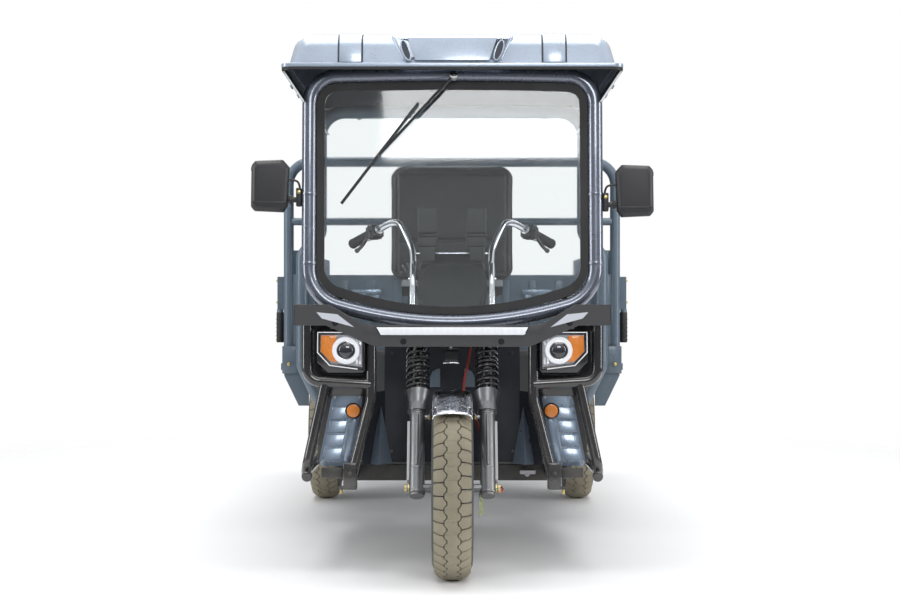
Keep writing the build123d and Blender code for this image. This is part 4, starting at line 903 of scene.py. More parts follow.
# Section of the mudguard: across, outward from the arc
guard_section = ((-0.059, -0.013), (-0.056, -0.002), (-0.044, 0.004), (-0.022, 0.0075), (0.0, 0.009),
                 (0.022, 0.0075), (0.044, 0.004), (0.056, -0.002), (0.059, -0.013))


def around_wheel(across, outward, turn):
    """A point round the front axle, with the turn measured from straight up towards the back."""
    return front_axle + Vector((across, outward * sin(turn), outward * cos(turn)))


calm()
bpy.ops.mesh.primitive_grid_add(x_subdivisions=len(guard_section) - 1, y_subdivisions=guard_steps)
mudguard = bpy.context.object
columns = len(guard_section)
for index, vertex in enumerate(mudguard.data.vertices):
    across, outward = guard_section[index % columns]
    share = (index // columns) / guard_steps
    narrowing = 1 - 0.10 * max(0.0, share * 3 - 2)
    vertex.co = around_wheel(across * narrowing, guard_radius - 0.003 + outward,
                             guard_from + (guard_to - guard_from) * share)
edit_all(mudguard)
modify(mudguard, "SOLIDIFY", thickness=0.0018, offset=0)
modify(mudguard, "SUBSURF", levels=1, render_levels=1)
rim_turns = [guard_from + (guard_to - guard_from) * step / 24 for step in range(25)]
beads = [bent_rod([around_wheel(side * guard_half * (1 - 0.10 * max(0.0, (turn - guard_from)
                                / (guard_to - guard_from) * 3 - 2)), guard_radius - 0.0165, turn)
                   for turn in rim_turns], 0.0022, False, 2) for side in (-1, 1)]
front_bead = bent_rod([around_wheel(across, guard_radius - 0.004 + outward, guard_from)
                       for across, outward in guard_section], 0.0026, False, 2)
stays = []
for side in (-1, 1):
    for turn, along in ((guard_from + 0.10, 0.250), (0.62, 0.243)):
        stays.append(bent_rod([around_wheel(side * 0.050, guard_radius + 0.004, turn),
                               around_wheel(side * 0.062, guard_radius + 0.004, turn),
                               steer_point(side * 0.074, leg_back + 0.004, along)], 0.0026))
mudguard_parts = painted("dark_chrome", mudguard) + painted("chrome", *beads, front_bead, *stays)
hand_over("chrome_mudguard", "steering", mudguard_parts, ("front_mudguard",), smooth=50)

# %% [markdown]
# A small horn hangs under the lower crown, in front of the steering head. It is a rounded box with a
# chromed rim.

# %% Horn
horn_centre = steer_point(-0.004, -0.046, 0.468)
horn_body = block(horn_centre + Vector((-0.024, -0.012, -0.020)), horn_centre + Vector((0.024, 0.018, 0.026)),
                  0.005, 3)
horn_rim = block(horn_centre + Vector((-0.026, -0.014, -0.024)), horn_centre + Vector((0.026, 0.016, -0.018)),
                 0.002)
horn_hanger = rod(horn_centre + Vector((0, 0.004, 0.02)), steer_point(-0.004, -0.030, 0.541), 0.006, 0.001)
horn_parts = painted("gloss_black_and_shade", horn_body) + painted("chrome", horn_rim) + painted("steel",
                                                                                          horn_hanger)
hand_over("horn", "steering", horn_parts)

# %% [markdown]
# The roof is one fibreglass moulding with soft shoulders. It starts as a box that narrows upwards, its
# edges are bevelled wide, the bottom is opened and the wall gets its thickness, with the navy lining on
# the inside. Two raised bands run over it, a scoop rises in the middle, and skirts hang at the sides.


# %% Roof: the moulding
def select_in_part(part, kind, test):
    """Select the faces or edges of a part whose middle passes a test, and enter edit mode."""
    select_only(part)
    mesh = part.data
    for group in (mesh.vertices, mesh.edges, mesh.polygons):
        for item in group:
            item.select = False
    if kind == "FACE":
        for face in mesh.polygons:
            face.select = test(face.center, face.normal)
    else:
        for edge in mesh.edges:
            ends = [mesh.vertices[index].co for index in edge.vertices]
            edge.select = test((ends[0] + ends[1]) / 2, (ends[1] - ends[0]).normalized())
    bpy.ops.object.mode_set(mode="EDIT")
    bpy.ops.mesh.select_mode(type=kind)


def cut_band(part, axis, low, high):
    """Keep only what lies between two planes across an axis."""
    for value, outer in ((low, False), (high, True)):
        place = [0.0, 0.0, 0.0]
        normal = [0.0, 0.0, 0.0]
        place[axis] = value
        normal[axis] = 1.0
        select_only(part)
        bpy.ops.object.mode_set(mode="EDIT")
        bpy.ops.mesh.select_all(action="SELECT")
        bpy.ops.mesh.bisect(plane_co=place, plane_no=normal, clear_inner=not outer, clear_outer=outer)
        bpy.ops.object.mode_set(mode="OBJECT")
    return part


def walled(part, thickness, offset, inner_slot=0):
    """Give a skin its wall."""
    return modify(part, "SOLIDIFY", thickness=thickness, offset=offset, use_even_offset=True,
                  material_offset=inner_slot)


roof_low, roof_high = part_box("roof_shell")
roof_rim_z = 1.608
roof_flange_z = 1.620
roof_top_z = 1.719
roof_body_half = 0.524
roof_front_y, roof_back_y = roof_low.y, roof_high.y
roof_skin = block((-roof_body_half, roof_front_y + 0.006, roof_flange_z - 0.004),
                  (roof_body_half, roof_back_y - 0.006, roof_top_z))
select_in_part(roof_skin, "FACE", lambda middle, normal: normal.z > 0.9)
bpy.ops.transform.resize(value=(0.948, 0.968, 1))
bpy.ops.object.mode_set(mode="OBJECT")
select_in_part(roof_skin, "EDGE", lambda middle, way: abs(way.z) > 0.8)
bpy.ops.mesh.bevel(offset=0.055, segments=6)
bpy.ops.object.mode_set(mode="OBJECT")
select_in_part(roof_skin, "EDGE", lambda middle, way: middle.z > roof_top_z - 0.001 and abs(way.z) < 0.2)
bpy.ops.mesh.bevel(offset=0.048, segments=6)
bpy.ops.object.mode_set(mode="OBJECT")
select_in_part(roof_skin, "FACE", lambda middle, normal: normal.z < -0.9)
bpy.ops.mesh.delete(type="FACE")
bpy.ops.object.mode_set(mode="OBJECT")
print("roof skin", len(roof_skin.data.polygons), "faces")

# %% Roof: bands, grooves, scoop and vents
# Inner and outer side of a raised band, and of the narrow grooves beside it, which are dark strips of painted
# shade
band_sides = (0.289, 0.359)
shade_strip_sides = ((0.2835, 0.2890), (0.3590, 0.3645))
roof_parts = []
# Each groove is a thin raised strip in the dark lining colour: painted shade where the slot would be.
for side in (-1, 1):
    for inner, outer, lift, finish in ((*band_sides, 0.0036, "roof_silver"),
                                       (*shade_strip_sides[0], 0.0008, "lining_and_shade"),
                                       (*shade_strip_sides[1], 0.0008, "lining_and_shade")):
        strip = copy_of(roof_skin, Matrix.Identity(4))
        cut_band(strip, 0, min(side * inner, side * outer), max(side * inner, side * outer))
        cut_band(strip, 2, roof_flange_z + 0.002, 2.0)
        walled(strip, lift, 1.0)
        if lift > 0.002:
            soften(strip, 0.0014, 2)
        roof_parts += painted(finish, strip)
# Corners of the scoop: half width, y, z
scoop_corners = ((0.156, roof_front_y - 0.0015, 1.622), (0.198, roof_front_y + 0.0240, 1.7140),
                 (0.140, roof_front_y + 0.700, 1.7355), (0.105, roof_front_y + 0.950, 1.7080))
scoop = plate([(-half, y, z) for half, y, z in scoop_corners], (0.3, 0, 0))
for vertex in scoop.data.vertices[4:]:
    half, y, z = scoop_corners[vertex.index - 4]
    vertex.co = (half, y, z)
soften(scoop, 0.010, 4)
inset_panel = plate([(-0.118, roof_front_y - 0.0005, 1.628), (0.118, roof_front_y - 0.0005, 1.628),
                     (0.142, roof_front_y + 0.0202, 1.7030), (-0.142, roof_front_y + 0.0202, 1.7030)],
                    (0, -0.0032, -0.0006), 0.0028, 3)
roof_parts += painted("roof_silver", scoop, inset_panel)
vent_half_width = 0.0125
vent_half_height = 0.033
vent_steps = 20
for side in (-1, 1):
    ring = []
    for step in range(vent_steps):
        turn = 2 * pi * step / vent_steps
        lean = 0.010 * sin(turn)
        ring.append(Vector((side * (0.1480 + lean + vent_half_width * cos(turn)),
                            roof_front_y + 0.0075 + 0.0095 * sin(turn),
                            1.660 + vent_half_height * sin(turn))))
    # The dark fill of each vent is painted shade for the hollow behind it.
    vent_shade_fill = plate(ring, (0, -0.0032, 0))
    rim = bent_rod([point + Vector((0, -0.0032, 0)) for point in ring], 0.0024, True, 3, cyclic=True)
    roof_parts += painted("lining_and_shade", vent_shade_fill) + painted("roof_silver", rim)

# %% [markdown]
# Round the rim runs a flat flange, dark below. The skirts are three layers thick: paint outside, raw white
# fibreglass at the cut edge, and lining inside. Two bearers carry the moulding on the hoops, and two
# small hooks hang from its rear edge.

# %% Roof: wall, flange, skirts, bearers and hooks
for finish in ("roof_silver", "lining_and_shade"):
    roof_skin.data.materials.append(finishes[finish])
walled(roof_skin, 0.005, -1.0, 1)
corner_cut = 0.03
flange_corners = []
for corner_x, corner_y, first in ((0.545, roof_front_y, 270), (0.545, roof_back_y, 0),
                                  (-0.545, roof_back_y, 90), (-0.545, roof_front_y, 180)):
    centre_x = corner_x - corner_cut * (1 if corner_x > 0 else -1)
    centre_y = corner_y - corner_cut * (1 if corner_y > -0.7 else -1)
    for step in range(6):
        turn = radians(first + 18 * step)
        flange_corners.append((centre_x + corner_cut * cos(turn), centre_y + corner_cut * sin(turn),
                               roof_rim_z))
flange = plate(flange_corners, (0, 0, roof_flange_z - roof_rim_z))
hollow = block((-0.517, roof_front_y + 0.012, 1.60), (0.517, roof_back_y - 0.012, 1.63))
modify(flange, "BOOLEAN", object=hollow)
bpy.data.objects.remove(hollow)
soften(flange, 0.003, 3)
roof_parts += painted("roof_silver", flange)
skirt_front_y = roof_front_y + 0.042
skirt_back_y = -0.195
# Layers of a skirt: finish, how far its outer and inner faces lie from the outer face
skirt_layers = (("roof_silver", 0.0, 0.0025), ("fibre_edge", 0.0025, 0.0078), ("lining_and_shade", 0.0078, 0.0095))
for side in (-1, 1):
    for finish, outer, inner in skirt_layers:
        corners = [(side * (x - depth), skirt_front_y, z) for x, z, depth in
                   ((0.5445, 1.5990, outer), (0.4815, 1.5045, outer), (0.4815, 1.5045, inner),
                    (0.5445, 1.5990, inner))]
        roof_parts += painted(finish, plate(corners, (0, skirt_back_y - skirt_front_y, 0)))
    for y in (-1.20, -0.95, -0.70, -0.45):
        head = side_rod(side, (0.5245, y, 1.5685), (0.5300, y, 1.5650), 0.008, 0.0015, sides=14)
        roof_parts += painted("steel", head)
    hook = bent_rod([(side * x, y, z) for x, y, z in
                     ((0.345, -0.135, 1.612), (0.345, -0.135, 1.590), (0.352, -0.130, 1.574),
                      (0.366, -0.124, 1.572), (0.374, -0.120, 1.582))], 0.0032)
    hook_base = side_box(side, (0.33, 0.36), (-0.148, -0.122), (1.601, 1.608), 0.001)
    roof_parts += painted("steel", hook, hook_base)
hoop_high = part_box("front_hoop")[1]
rear_hoop_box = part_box("rear_hoop")
for y, tube_high in ((-1.288, hoop_high.z), ((rear_hoop_box[0].y + rear_hoop_box[1].y) / 2,
                                             rear_hoop_box[1].z)):
    bearer = block((-0.465, y - 0.02, tube_high + 0.0003), (0.465, y + 0.02, roof_top_z - 0.006), 0.002)
    roof_parts += painted("lining_and_shade", bearer)
hand_over("moulded_roof", "chassis", [roof_skin, *roof_parts], ("roof_shell",),
          smooth=32)

# %% [markdown]
# The mirrors have truck housings: an outline with cut corners, a front that is inset and pulled forward to
# a facet, a band along the bottom and the glass set in the back. Each hangs on a short round arm with a
# clamp and a brass bolt, and a thin stay ties it to the hoop.

# %% Mirrors
# Outline of the right housing: x from its inner side, z from its bottom
housing_outline = ((0.006, 0.020), (0.020, 0.0), (0.112, 0.004), (0.1225, 0.018), (0.1205, 0.150),
                   (0.108, 0.165), (0.020, 0.168), (0.0, 0.146))
mirror_inner_x = 0.5245
hoop_reach = 0.4843
mirror_places = ((-1, 1.150), (1, 1.134))


hoop_foot_y, hoop_foot_z, hoop_lean = -1.335, 0.826, 0.0612


def hoop_middle_y(z):
    """The front hoop's plane leans back; its y at a height."""
    return hoop_foot_y + (z - hoop_foot_z) * hoop_lean


mirror_parts = []
for side, low_z in mirror_places:
    middle_y = hoop_middle_y(low_z + 0.04)
    outline = [(mirror_inner_x + x, low_z + z) for x, z in housing_outline]
    housing = front_plate(outline, side, middle_y + 0.006, -0.018)
    select_in_part(housing, "FACE", lambda middle, normal: normal.y < -0.9)
    bpy.ops.mesh.extrude_region_move(TRANSFORM_OT_translate={"value": (0, -0.011, 0)})
    bpy.ops.transform.resize(value=(0.80, 1, 0.84))
    bpy.ops.object.mode_set(mode="OBJECT")
    soften(housing, 0.004, 3, 20)
    back_rim = front_plate(outline, side, middle_y + 0.006, 0.016)
    select_in_part(back_rim, "FACE", lambda middle, normal: normal.y > 0.9)
    bpy.ops.mesh.inset(thickness=0.006)
    bpy.ops.mesh.extrude_region_move(TRANSFORM_OT_translate={"value": (0, -0.006, 0)})
    bpy.ops.object.mode_set(mode="OBJECT")
    soften(back_rim, 0.0015, 2, 30)
    glass_outline = [(side * (mirror_inner_x + 0.0612 + (x - 0.0612) * 0.88), middle_y + 0.0162,
                      low_z + 0.084 + (z - 0.084) * 0.91) for x, z in housing_outline]
    glass = plate(glass_outline, (0, 0.0012, 0))
    band = side_box(side, (0.531, 0.641), (middle_y - 0.0245, middle_y - 0.006),
                    (low_z + 0.026, low_z + 0.034), 0.002)
    seam = side_box(side, (0.5275, 0.6430), (middle_y - 0.0135, middle_y - 0.002),
                    (low_z + 0.060, low_z + 0.063),
                    0.0008)
    knob_y, knob_z, second_knob_z = middle_y - 0.002, low_z + 0.138, low_z + 0.112
    arm_z, bolt_z = low_z + 0.040, low_z + 0.064
    knob = side_rod(side, (0.640, knob_y, knob_z), (0.6465, knob_y, knob_z), 0.0075, 0.0015, 16)
    knob_low = side_rod(side, (0.640, knob_y, second_knob_z), (0.6455, knob_y, second_knob_z), 0.0045, 0.001,
                        16)
    arm = side_rod(side, (hoop_reach + 0.004, middle_y, arm_z), (0.529, middle_y, arm_z), 0.009, sides=24)
    collar = side_rod(side, (0.516, middle_y, arm_z), (0.5255, middle_y, arm_z), 0.0135, 0.002, 24)
    clamp = side_box(side, (hoop_reach, 0.502), (middle_y - 0.013, middle_y + 0.013),
                     (low_z + 0.018, low_z + 0.078),
                     0.004, 3)
    bolt = side_rod(side, (0.492, middle_y - 0.0125, bolt_z), (0.492, middle_y - 0.0190, bolt_z), 0.0065,
                    0.001, 6)
    stay = bent_rod([(side * x, middle_y + y, low_z + z) for x, y, z in
                     ((0.490, 0.002, 0.076), (0.492, 0.002, 0.094), (0.506, 0.000, 0.104),
                      (0.530, 0.0, 0.104))],
                    0.0036)
    mirror_parts += painted("plastic", housing, back_rim, band, collar, stay, clamp, arm)
    mirror_parts += painted("gloss_black_and_shade", seam, knob, knob_low) + painted("mirror_glass", glass)
    mirror_parts += painted("zinc", bolt)
hand_over("truck_mirrors", "chassis", mirror_parts, ("mirrors",), smooth=30)

# %% [markdown]
# The hoop, its rubber and the glass are taken over from the frame, and their lower edge is drawn down in
# the middle to the deeper bow that the cab shows above its bumper.

# %% Deeper lower bow of the windshield
bow_drop = 0.030
bow_half = 0.46
bow_from_z, bow_fade = 1.02, 0.15
for node, finish, slot in (("front_hoop", "hoop_silver", "silver_blue_shell"),
                           ("windshield_rubber", "rubber", "black_rubber"),
                           ("windshield_glass", "glass", "clear_glass")):
    bow = copy_of(nodes[node], nodes[node].matrix_world)
    bow.matrix_world = Matrix.Identity(4)
    bow.parent = None
    for vertex in bow.data.vertices:
        low = min(1.0, max(0.0, (bow_from_z - vertex.co.z) / bow_fade))
        across = max(0.0, 1 - (vertex.co.x / bow_half) ** 2)
        drop = bow_drop * across * low * low * (3 - 2 * low)
        vertex.co += Vector((0, -hoop_lean * drop, -drop))
    bow.data.update()
    hand_over(f"bowed_{node}", "chassis", painted(finish, bow), (node,), smooth=40)

# %% [markdown]
# The windshield hoop is made of welded tubes: sleeves cover the joints on its posts. A pivot with its cap
# dresses the wiper.

# %% Hoop sleeves and wiper fittings
hoop_parts = []
for side in (-1, 1):
    for z in (1.208, 0.985):
        low = Vector((side * 0.46, hoop_middle_y(z - 0.006), z - 0.006))
        high = Vector((side * 0.46, hoop_middle_y(z + 0.006), z + 0.006))
        hoop_parts += painted("hoop_silver", rod(low, high, 0.0255, 0.0012, sides=40))
pivot_y = hoop_middle_y(1.586)
pivot = rod((0.005, pivot_y - 0.026, 1.586), (0.005, pivot_y - 0.046, 1.584), 0.013, 0.002, sides=24)
pivot_cap = rod((0.005, pivot_y - 0.045, 1.584), (0.005, pivot_y - 0.052, 1.583), 0.0085, 0.002, sides=20)
hoop_parts += painted("steel", pivot) + painted("gloss_black_and_shade", pivot_cap)
hand_over("hoop_fittings", "chassis", hoop_parts)

# %% [markdown]
# The bumper is folded sheet: the flange turned back along its top edge catches the light as a thin bright
# line, and its ends fold back too. Hexagon bolts sit deep in its four holes, and a black disc over each
# hole is painted shade for its depth. A pale plate on each upper corner is a painted highlight of a lit
# facet. A raised band carries the light strip in its middle, which has slanted ends, a white cover and a
# dark frame.

# %% Bumper trim and light strip
bumper_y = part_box("bumper")[0].y
top_edge = ((-0.502, 0.850), (-0.390, 0.850), (-0.245, 0.765), (0.245, 0.765), (0.390, 0.850), (0.502, 0.850))
bumper_parts = []
for (x0, z0), (x1, z1) in zip(top_edge, top_edge[1:]):
    lip = plate([(x0, bumper_y - 0.0006, z0), (x1, bumper_y - 0.0006, z1),
                 (x1, bumper_y - 0.0006, z1 + 0.0035),
                 (x0, bumper_y - 0.0006, z0 + 0.0035)], (0, 0.030, 0), 0.0012)
    bumper_parts += painted("bumper_grey", lip)
for side in (-1, 1):
    end_flange = side_box(side, (0.498, 0.502), (bumper_y, bumper_y + 0.042), (0.790, 0.848), 0.0015)
    bumper_parts += painted("bumper_grey", end_flange)
    for x, z in ((0.155, 0.736), (0.371, 0.795)):
        head = side_rod(side, (x, bumper_y + 0.0075, z), (x, bumper_y + 0.0030, z), 0.0056, 0.0008, sides=6)
        bumper_parts += painted("chassis", head)
        # A black disc over each hole is painted shade for its depth.
        bumper_parts += painted("gloss_black_and_shade", side_rod(side, (x, bumper_y + 0.0004, z),
                                                           (x, bumper_y - 0.0010, z),
                                                      0.0096, sides=28))
    # A pale plate on each upper corner is a painted highlight of a lit facet.
    lit_facet = front_plate(((0.430, 0.829), (0.3636, 0.8224), (0.3105, 0.7816), (0.4123, 0.8091)), side,
                        bumper_y - 0.0012, 0.0014, 0.0004, 1)
    bumper_parts += painted("painted_highlight", lit_facet)
upper_band = plate([(x, bumper_y - 0.0009, z) for x, z in
                    ((-0.285, 0.7600), (0.285, 0.7600), (0.300, 0.7980), (0.255, 0.7890), (-0.255, 0.7890),
                     (-0.300, 0.7980))],
                   (0, 0.007, 0), 0.0008)
bumper_parts += painted("bumper_grey", upper_band)
hand_over("bumper_trim", "chassis", bumper_parts)

strip_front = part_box("light_strip")[0].y
# The strip stands on the raised band, so it is taller than the frame's own
strip_low_z, strip_high_z = 0.7560, 0.7825
cover = plate([(-0.226, strip_front, strip_low_z + 0.001), (0.226, strip_front, strip_low_z + 0.001),
               (0.240, strip_front, strip_high_z - 0.001), (-0.240, strip_front, strip_high_z - 0.001)],
              (0, 0.0055, 0), 0.0018, 3)
frame_strip = plate([(-0.229, strip_front + 0.003, strip_low_z - 0.0015),
                     (0.229, strip_front + 0.003, strip_low_z - 0.0015),
                     (0.2435, strip_front + 0.003, strip_high_z + 0.0015),
                     (-0.2435, strip_front + 0.003, strip_high_z + 0.0015)],
                    (0, 0.003, 0), 0.0008)
diodes = [block((-0.2205 + 0.021 * index, strip_front - 0.0006, strip_low_z + 0.0035),
                (-0.2105 + 0.021 * index, strip_front + 0.0005, strip_high_z - 0.0035), 0.0004)
          for index in range(22)]
strip_parts = painted("lamp_ring", cover) + painted("gloss_black_and_shade", frame_strip) + painted("lamp_ring",
                                                                                             *diodes)
hand_over("day_light_strip", "chassis", strip_parts, ("light_strip",))

# %% [markdown]
# Each headlight is a black bezel with a bright outline on its outer side. In it sit a silver bowl, a round
# projector lens in a milk-white ring, and an amber turn lamp outside it, all behind the same outline. The
# glossy housing panel around it fills the space between the bumper and the guard bars.

# %% Headlights
lamp_low, lamp_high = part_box("headlights")
lamp_front = lamp_low.y
# Bezel seen from the front, for the right lamp: x, z
bezel = ((0.277, 0.742), (0.300, 0.768), (0.428, 0.768), (0.4295, 0.700), (0.389, 0.657), (0.277, 0.642))
bowl = ((0.286, 0.738), (0.304, 0.757), (0.417, 0.757), (0.4185, 0.704), (0.384, 0.668), (0.286, 0.655))
amber = ((0.366, 0.7555), (0.4160, 0.7555), (0.4175, 0.7045), (0.3890, 0.6745), (0.366, 0.6690))
projector_x = 0.337
projector_z = 0.708


def lamp_ring(side, radius, thick, y, finish):
    """A round bezel ring about the projector."""
    ring_points = [(side * projector_x + radius * cos(2 * pi * step / 40), y,
                    projector_z + radius * sin(2 * pi * step / 40)) for step in range(40)]
    return painted(finish, bent_rod(ring_points, thick, True, 4, cyclic=True))


lamp_parts = []
for side in (-1, 1):
    case = front_plate(((0.2805, 0.7665), (0.4290, 0.7665), (0.4290, 0.671), (0.3945, 0.6365),
                        (0.2805, 0.6365)),
                      side, lamp_front + 0.004, lamp_high.y - lamp_front - 0.004, 0.004, 2)
    bezel_part = front_plate(bezel, side, lamp_front + 0.005, -0.012)
    select_in_part(bezel_part, "FACE", lambda middle, normal: normal.y < -0.9)
    bpy.ops.mesh.inset(thickness=0.0085)
    bpy.ops.mesh.extrude_region_move(TRANSFORM_OT_translate={"value": (0, 0.0085, 0)})
    bpy.ops.object.mode_set(mode="OBJECT")
    soften(bezel_part, 0.0018, 3, 30)
    back = front_plate(bowl, side, lamp_front + 0.002, -0.0015)
    turn_lamp = front_plate(amber, side, lamp_front + 0.0015, -0.0045, 0.0015)
    facets = [front_plate([(x0, 0.664), (x0 + 0.007, 0.664), (x0 + 0.007, 0.754), (x0, 0.754)], side,
                         lamp_front + 0.0012, -0.0018, 0.0006) for x0 in (0.289, 0.299)]
    bright_edge = bent_rod([(side * x, lamp_front - 0.0078, z) for x, z in
                            ((0.302, 0.7650), (0.4255, 0.7650), (0.4265, 0.7015), (0.388, 0.6605),
                             (0.300, 0.6490))],
                           0.0016, False, 2)
    barrel = side_rod(side, (projector_x, lamp_front + 0.001, projector_z),
                      (projector_x, lamp_front - 0.0050, projector_z), 0.0275, 0.001, sides=40)
    calm()
    bpy.ops.mesh.primitive_uv_sphere_add(segments=32, ring_count=16, radius=0.0235,
                                         location=(side * projector_x, lamp_front - 0.0030, projector_z))
    ball = bpy.context.object
    ball.scale = (1, 0.38, 1)
    bpy.ops.object.transform_apply(location=True, rotation=True, scale=True)
    lamp_parts += painted("gloss_black_and_shade", case, bezel_part, barrel) + painted("lamp_bowl", back, *facets)
    lamp_parts += painted("amber", turn_lamp) + painted("lamp_ring", bright_edge)
    lamp_parts += painted("projector", ball)
    band = spun([(0.0, 0.0285), (0.0042, 0.0300), (0.0046, 0.0420), (0.0, 0.0440)], (0, 0, 0), 48)
    facing_road(band, side * projector_x, lamp_front - 0.0020, projector_z)
    lamp_parts += painted("lamp_ring", band)
    lamp_parts += lamp_ring(side, 0.0290, 0.0020, lamp_front - 0.0040, "chrome")
hand_over("projector_headlights", "chassis", lamp_parts, ("headlights",), smooth=35)

# %% [markdown]
# The leg shields are pressed panels in the body colour, leaning with the guard bars in front of a dark
# backing, which is painted shade for the gap between the guard tubes and the panels. A crease runs down
# from the reflector, and four steps with rounded corners are pressed into the outer half. The amber
# reflector sits in a dark cup.

# %% Leg shields and reflectors
shield_low, shield_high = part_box("leg_shields")
reflector_low, reflector_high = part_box("side_reflectors")
shield_inner = 0.291
shield_outer = 0.433
shield_face = shield_high.y - 0.004
# Where the leaning panel's sides stand at its foot, and how far they lean in at its top
lean_inner_x, inner_lean = 0.322, 0.036
lean_outer_x, outer_lean = 0.432, 0.048
shield_parts = []
for side in (-1, 1):
    panel = plate([(side * x, shield_face, z) for x, z in
                   ((shield_inner, shield_low.z), (shield_outer, shield_low.z), (shield_outer, shield_high.z),
                    (shield_inner, shield_high.z))], (0, 0.004, 0))
    select_in_part(panel, "EDGE", lambda middle, way: abs(way.y) > 0.9)
    bpy.ops.mesh.bevel(offset=0.020, segments=5)
    bpy.ops.object.mode_set(mode="OBJECT")
    soften(panel, 0.0012, 2)
    crease_x0, crease_x1 = shield_inner + 0.043, shield_inner + 0.050
    raised = plate([(side * x, shield_face + 0.0005, z) for x, z in
                    ((shield_inner + 0.008, shield_low.z + 0.014), (crease_x0 - 0.006, shield_low.z + 0.014),
                     (crease_x0, shield_low.z + 0.026), (crease_x0, shield_high.z - 0.094),
                     (shield_inner + 0.020, shield_high.z - 0.080),
                     (shield_inner + 0.008, shield_high.z - 0.092))],
                   (0, -0.0052, 0), 0.003, 3)
    # The dark copy behind each panel is painted shade for the gap between guard tube and panel.
    shield_parts += painted("silver_blue", panel, raised) + painted("chassis",
                                                                    copy_of(panel, Matrix.Identity(4)))
    for index in range(4):
        low_z = shield_low.z + 0.018 + 0.044 * index
        step = plate([(side * (crease_x1 + 0.003), shield_face + 0.001, low_z),
                      (side * (shield_outer - 0.012), shield_face + 0.001, low_z),
                      (side * (shield_outer - 0.012), shield_face + 0.001, low_z + 0.040),
                      (side * (crease_x1 + 0.003), shield_face + 0.001, low_z + 0.040)], (0, -0.0045, 0))
        select_in_part(step, "EDGE", lambda middle, way: middle.y < shield_face - 0.003
                       and middle.z < low_z + 0.002 and abs(way.x) > 0.9)
        bpy.ops.transform.translate(value=(0, -0.0075, 0.004))
        bpy.ops.object.mode_set(mode="OBJECT")
        soften(step, 0.0026, 3, 20)
        shield_parts += painted("silver_blue", step)
    for x, z in ((shield_inner + 0.014, shield_high.z - 0.014), (shield_outer - 0.014, shield_high.z - 0.014),
                 (shield_outer - 0.010, shield_low.z + 0.010)):
        screw = side_rod(side, (x, shield_face + 0.001, z), (x, shield_face - 0.0035, z), 0.0048, 0.0012,
                         sides=16)
        shield_parts += painted("steel", screw)
# All but the dark painted-shade backing lean with the guard bars.
for part in shield_parts:
    if part.data.materials[0] != finishes["chassis"]:
        for vertex in part.data.vertices:
            side = 1 if vertex.co.x > 0 else -1
            share = (vertex.co.z - shield_low.z) / (shield_high.z - shield_low.z)
            across = (abs(vertex.co.x) - shield_inner) / (shield_outer - shield_inner)
            inner, outer = lean_inner_x - inner_lean * share, lean_outer_x - outer_lean * share
            vertex.co.x = side * (inner + (outer - inner) * across)
            vertex.co.y -= 0.002
        part.data.update()
hand_over("pressed_leg_shields", "chassis", shield_parts, ("leg_shields",), smooth=30)

reflector_x = 0.318
reflector_z = (reflector_low.z + reflector_high.z) / 2
reflector_parts = []
for side in (-1, 1):
    cup = spun([(0.0, 0.0), (0.0, 0.0240), (0.003, 0.0258), (0.0125, 0.0258), (0.0135, 0.0235),
                (0.0110, 0.0225),
                (0.0110, 0.0)], (0, 0, 0), 40)
    lens = spun([(0.0105, 0.0), (0.0105, 0.0215), (0.0140, 0.0205), (0.0160, 0.0120), (0.0166, 0.0)],
                (0, 0, 0), 40)
    for part in (cup, lens):
        facing_road(part, side * reflector_x, shield_face - 0.0002, reflector_z)
    bolt = side_rod(side, (reflector_x, shield_face + 0.012, reflector_z),
                    (reflector_x, shield_face, reflector_z),
               0.004, sides=12)
    reflector_parts += painted("gloss_black_and_shade", cup) + painted("amber", lens) + painted("steel", bolt)
hand_over("amber_reflectors", "chassis", reflector_parts, ("side_reflectors",), smooth=40)

# %% [markdown]
# The guard bars end in domed caps, and U clamps with small bolts hold their feet to the cross beam. A
# dark plate stands behind each foot.

# %% Guard bar fittings
guard_y = -1.3817
guard_parts = []
for side in (-1, 1):
    clamp = side_box(side, (0.302, 0.346), (guard_y - 0.0215, guard_y + 0.024), (0.266, 0.352), 0.005, 3)
    hole = side_rod(side, (0.324, guard_y - 0.0215, 0.318), (0.324, guard_y - 0.0265, 0.318), 0.0075, 0.001,
                    sides=6)
    foot_bolt = side_rod(side, (0.352, guard_y - 0.004, 0.272), (0.352, guard_y - 0.004, 0.252), 0.0055,
                         0.001, sides=6)
    strap = side_box(side, (0.345, 0.360), (guard_y - 0.014, guard_y + 0.016), (0.266, 0.276), 0.001)
    cap = side_rod(side, (0.461, guard_y - 0.001, 0.312), (0.461, guard_y - 0.022, 0.306), 0.0172, 0.006,
                   sides=28)
    backing = side_box(side, (0.350, 0.418), (guard_y + 0.030, guard_y + 0.034), (0.300, 0.332), 0.001)
    elbow = side_rod(side, (0.461, guard_y, 0.835), (0.461, guard_y, 0.8395), 0.0170, 0.003, sides=28)
    guard_parts += painted("black_gloss", clamp, cap, elbow) + painted("zinc", foot_bolt)
    guard_parts += painted("chassis", hole, backing) + painted("chassis", strap)
hand_over("guard_fittings", "chassis", guard_parts)

# %% [markdown]
# The console is a black moulded case on the upper crown. Its face is one rounded outline, laid out in the
# sloping plane of the face: u across, v up the slope, and out towards the road. Two stepped shoulders
# stand on it, and the rider's side carries a display, a key and two knobs.


# %% Console
face_foot = Vector((0, -1.2252, 0.8318))
face_head = Vector((0, -1.1301, 0.9905))
face_up = (face_head - face_foot).normalized()
face_out = Vector((0, -face_up.z, face_up.y))
face_middle = 0.0925
# Right half of the face's outline: u, v
face_half = ((0.092, 0.000), (0.103, 0.020), (0.112, 0.050), (0.1165, 0.085), (0.1165, 0.112), (0.112, 0.137),
             (0.100, 0.160), (0.082, 0.176), (0.055, 0.185))
face_outline = [*face_half, *[(-u, v) for u, v in reversed(face_half)]]


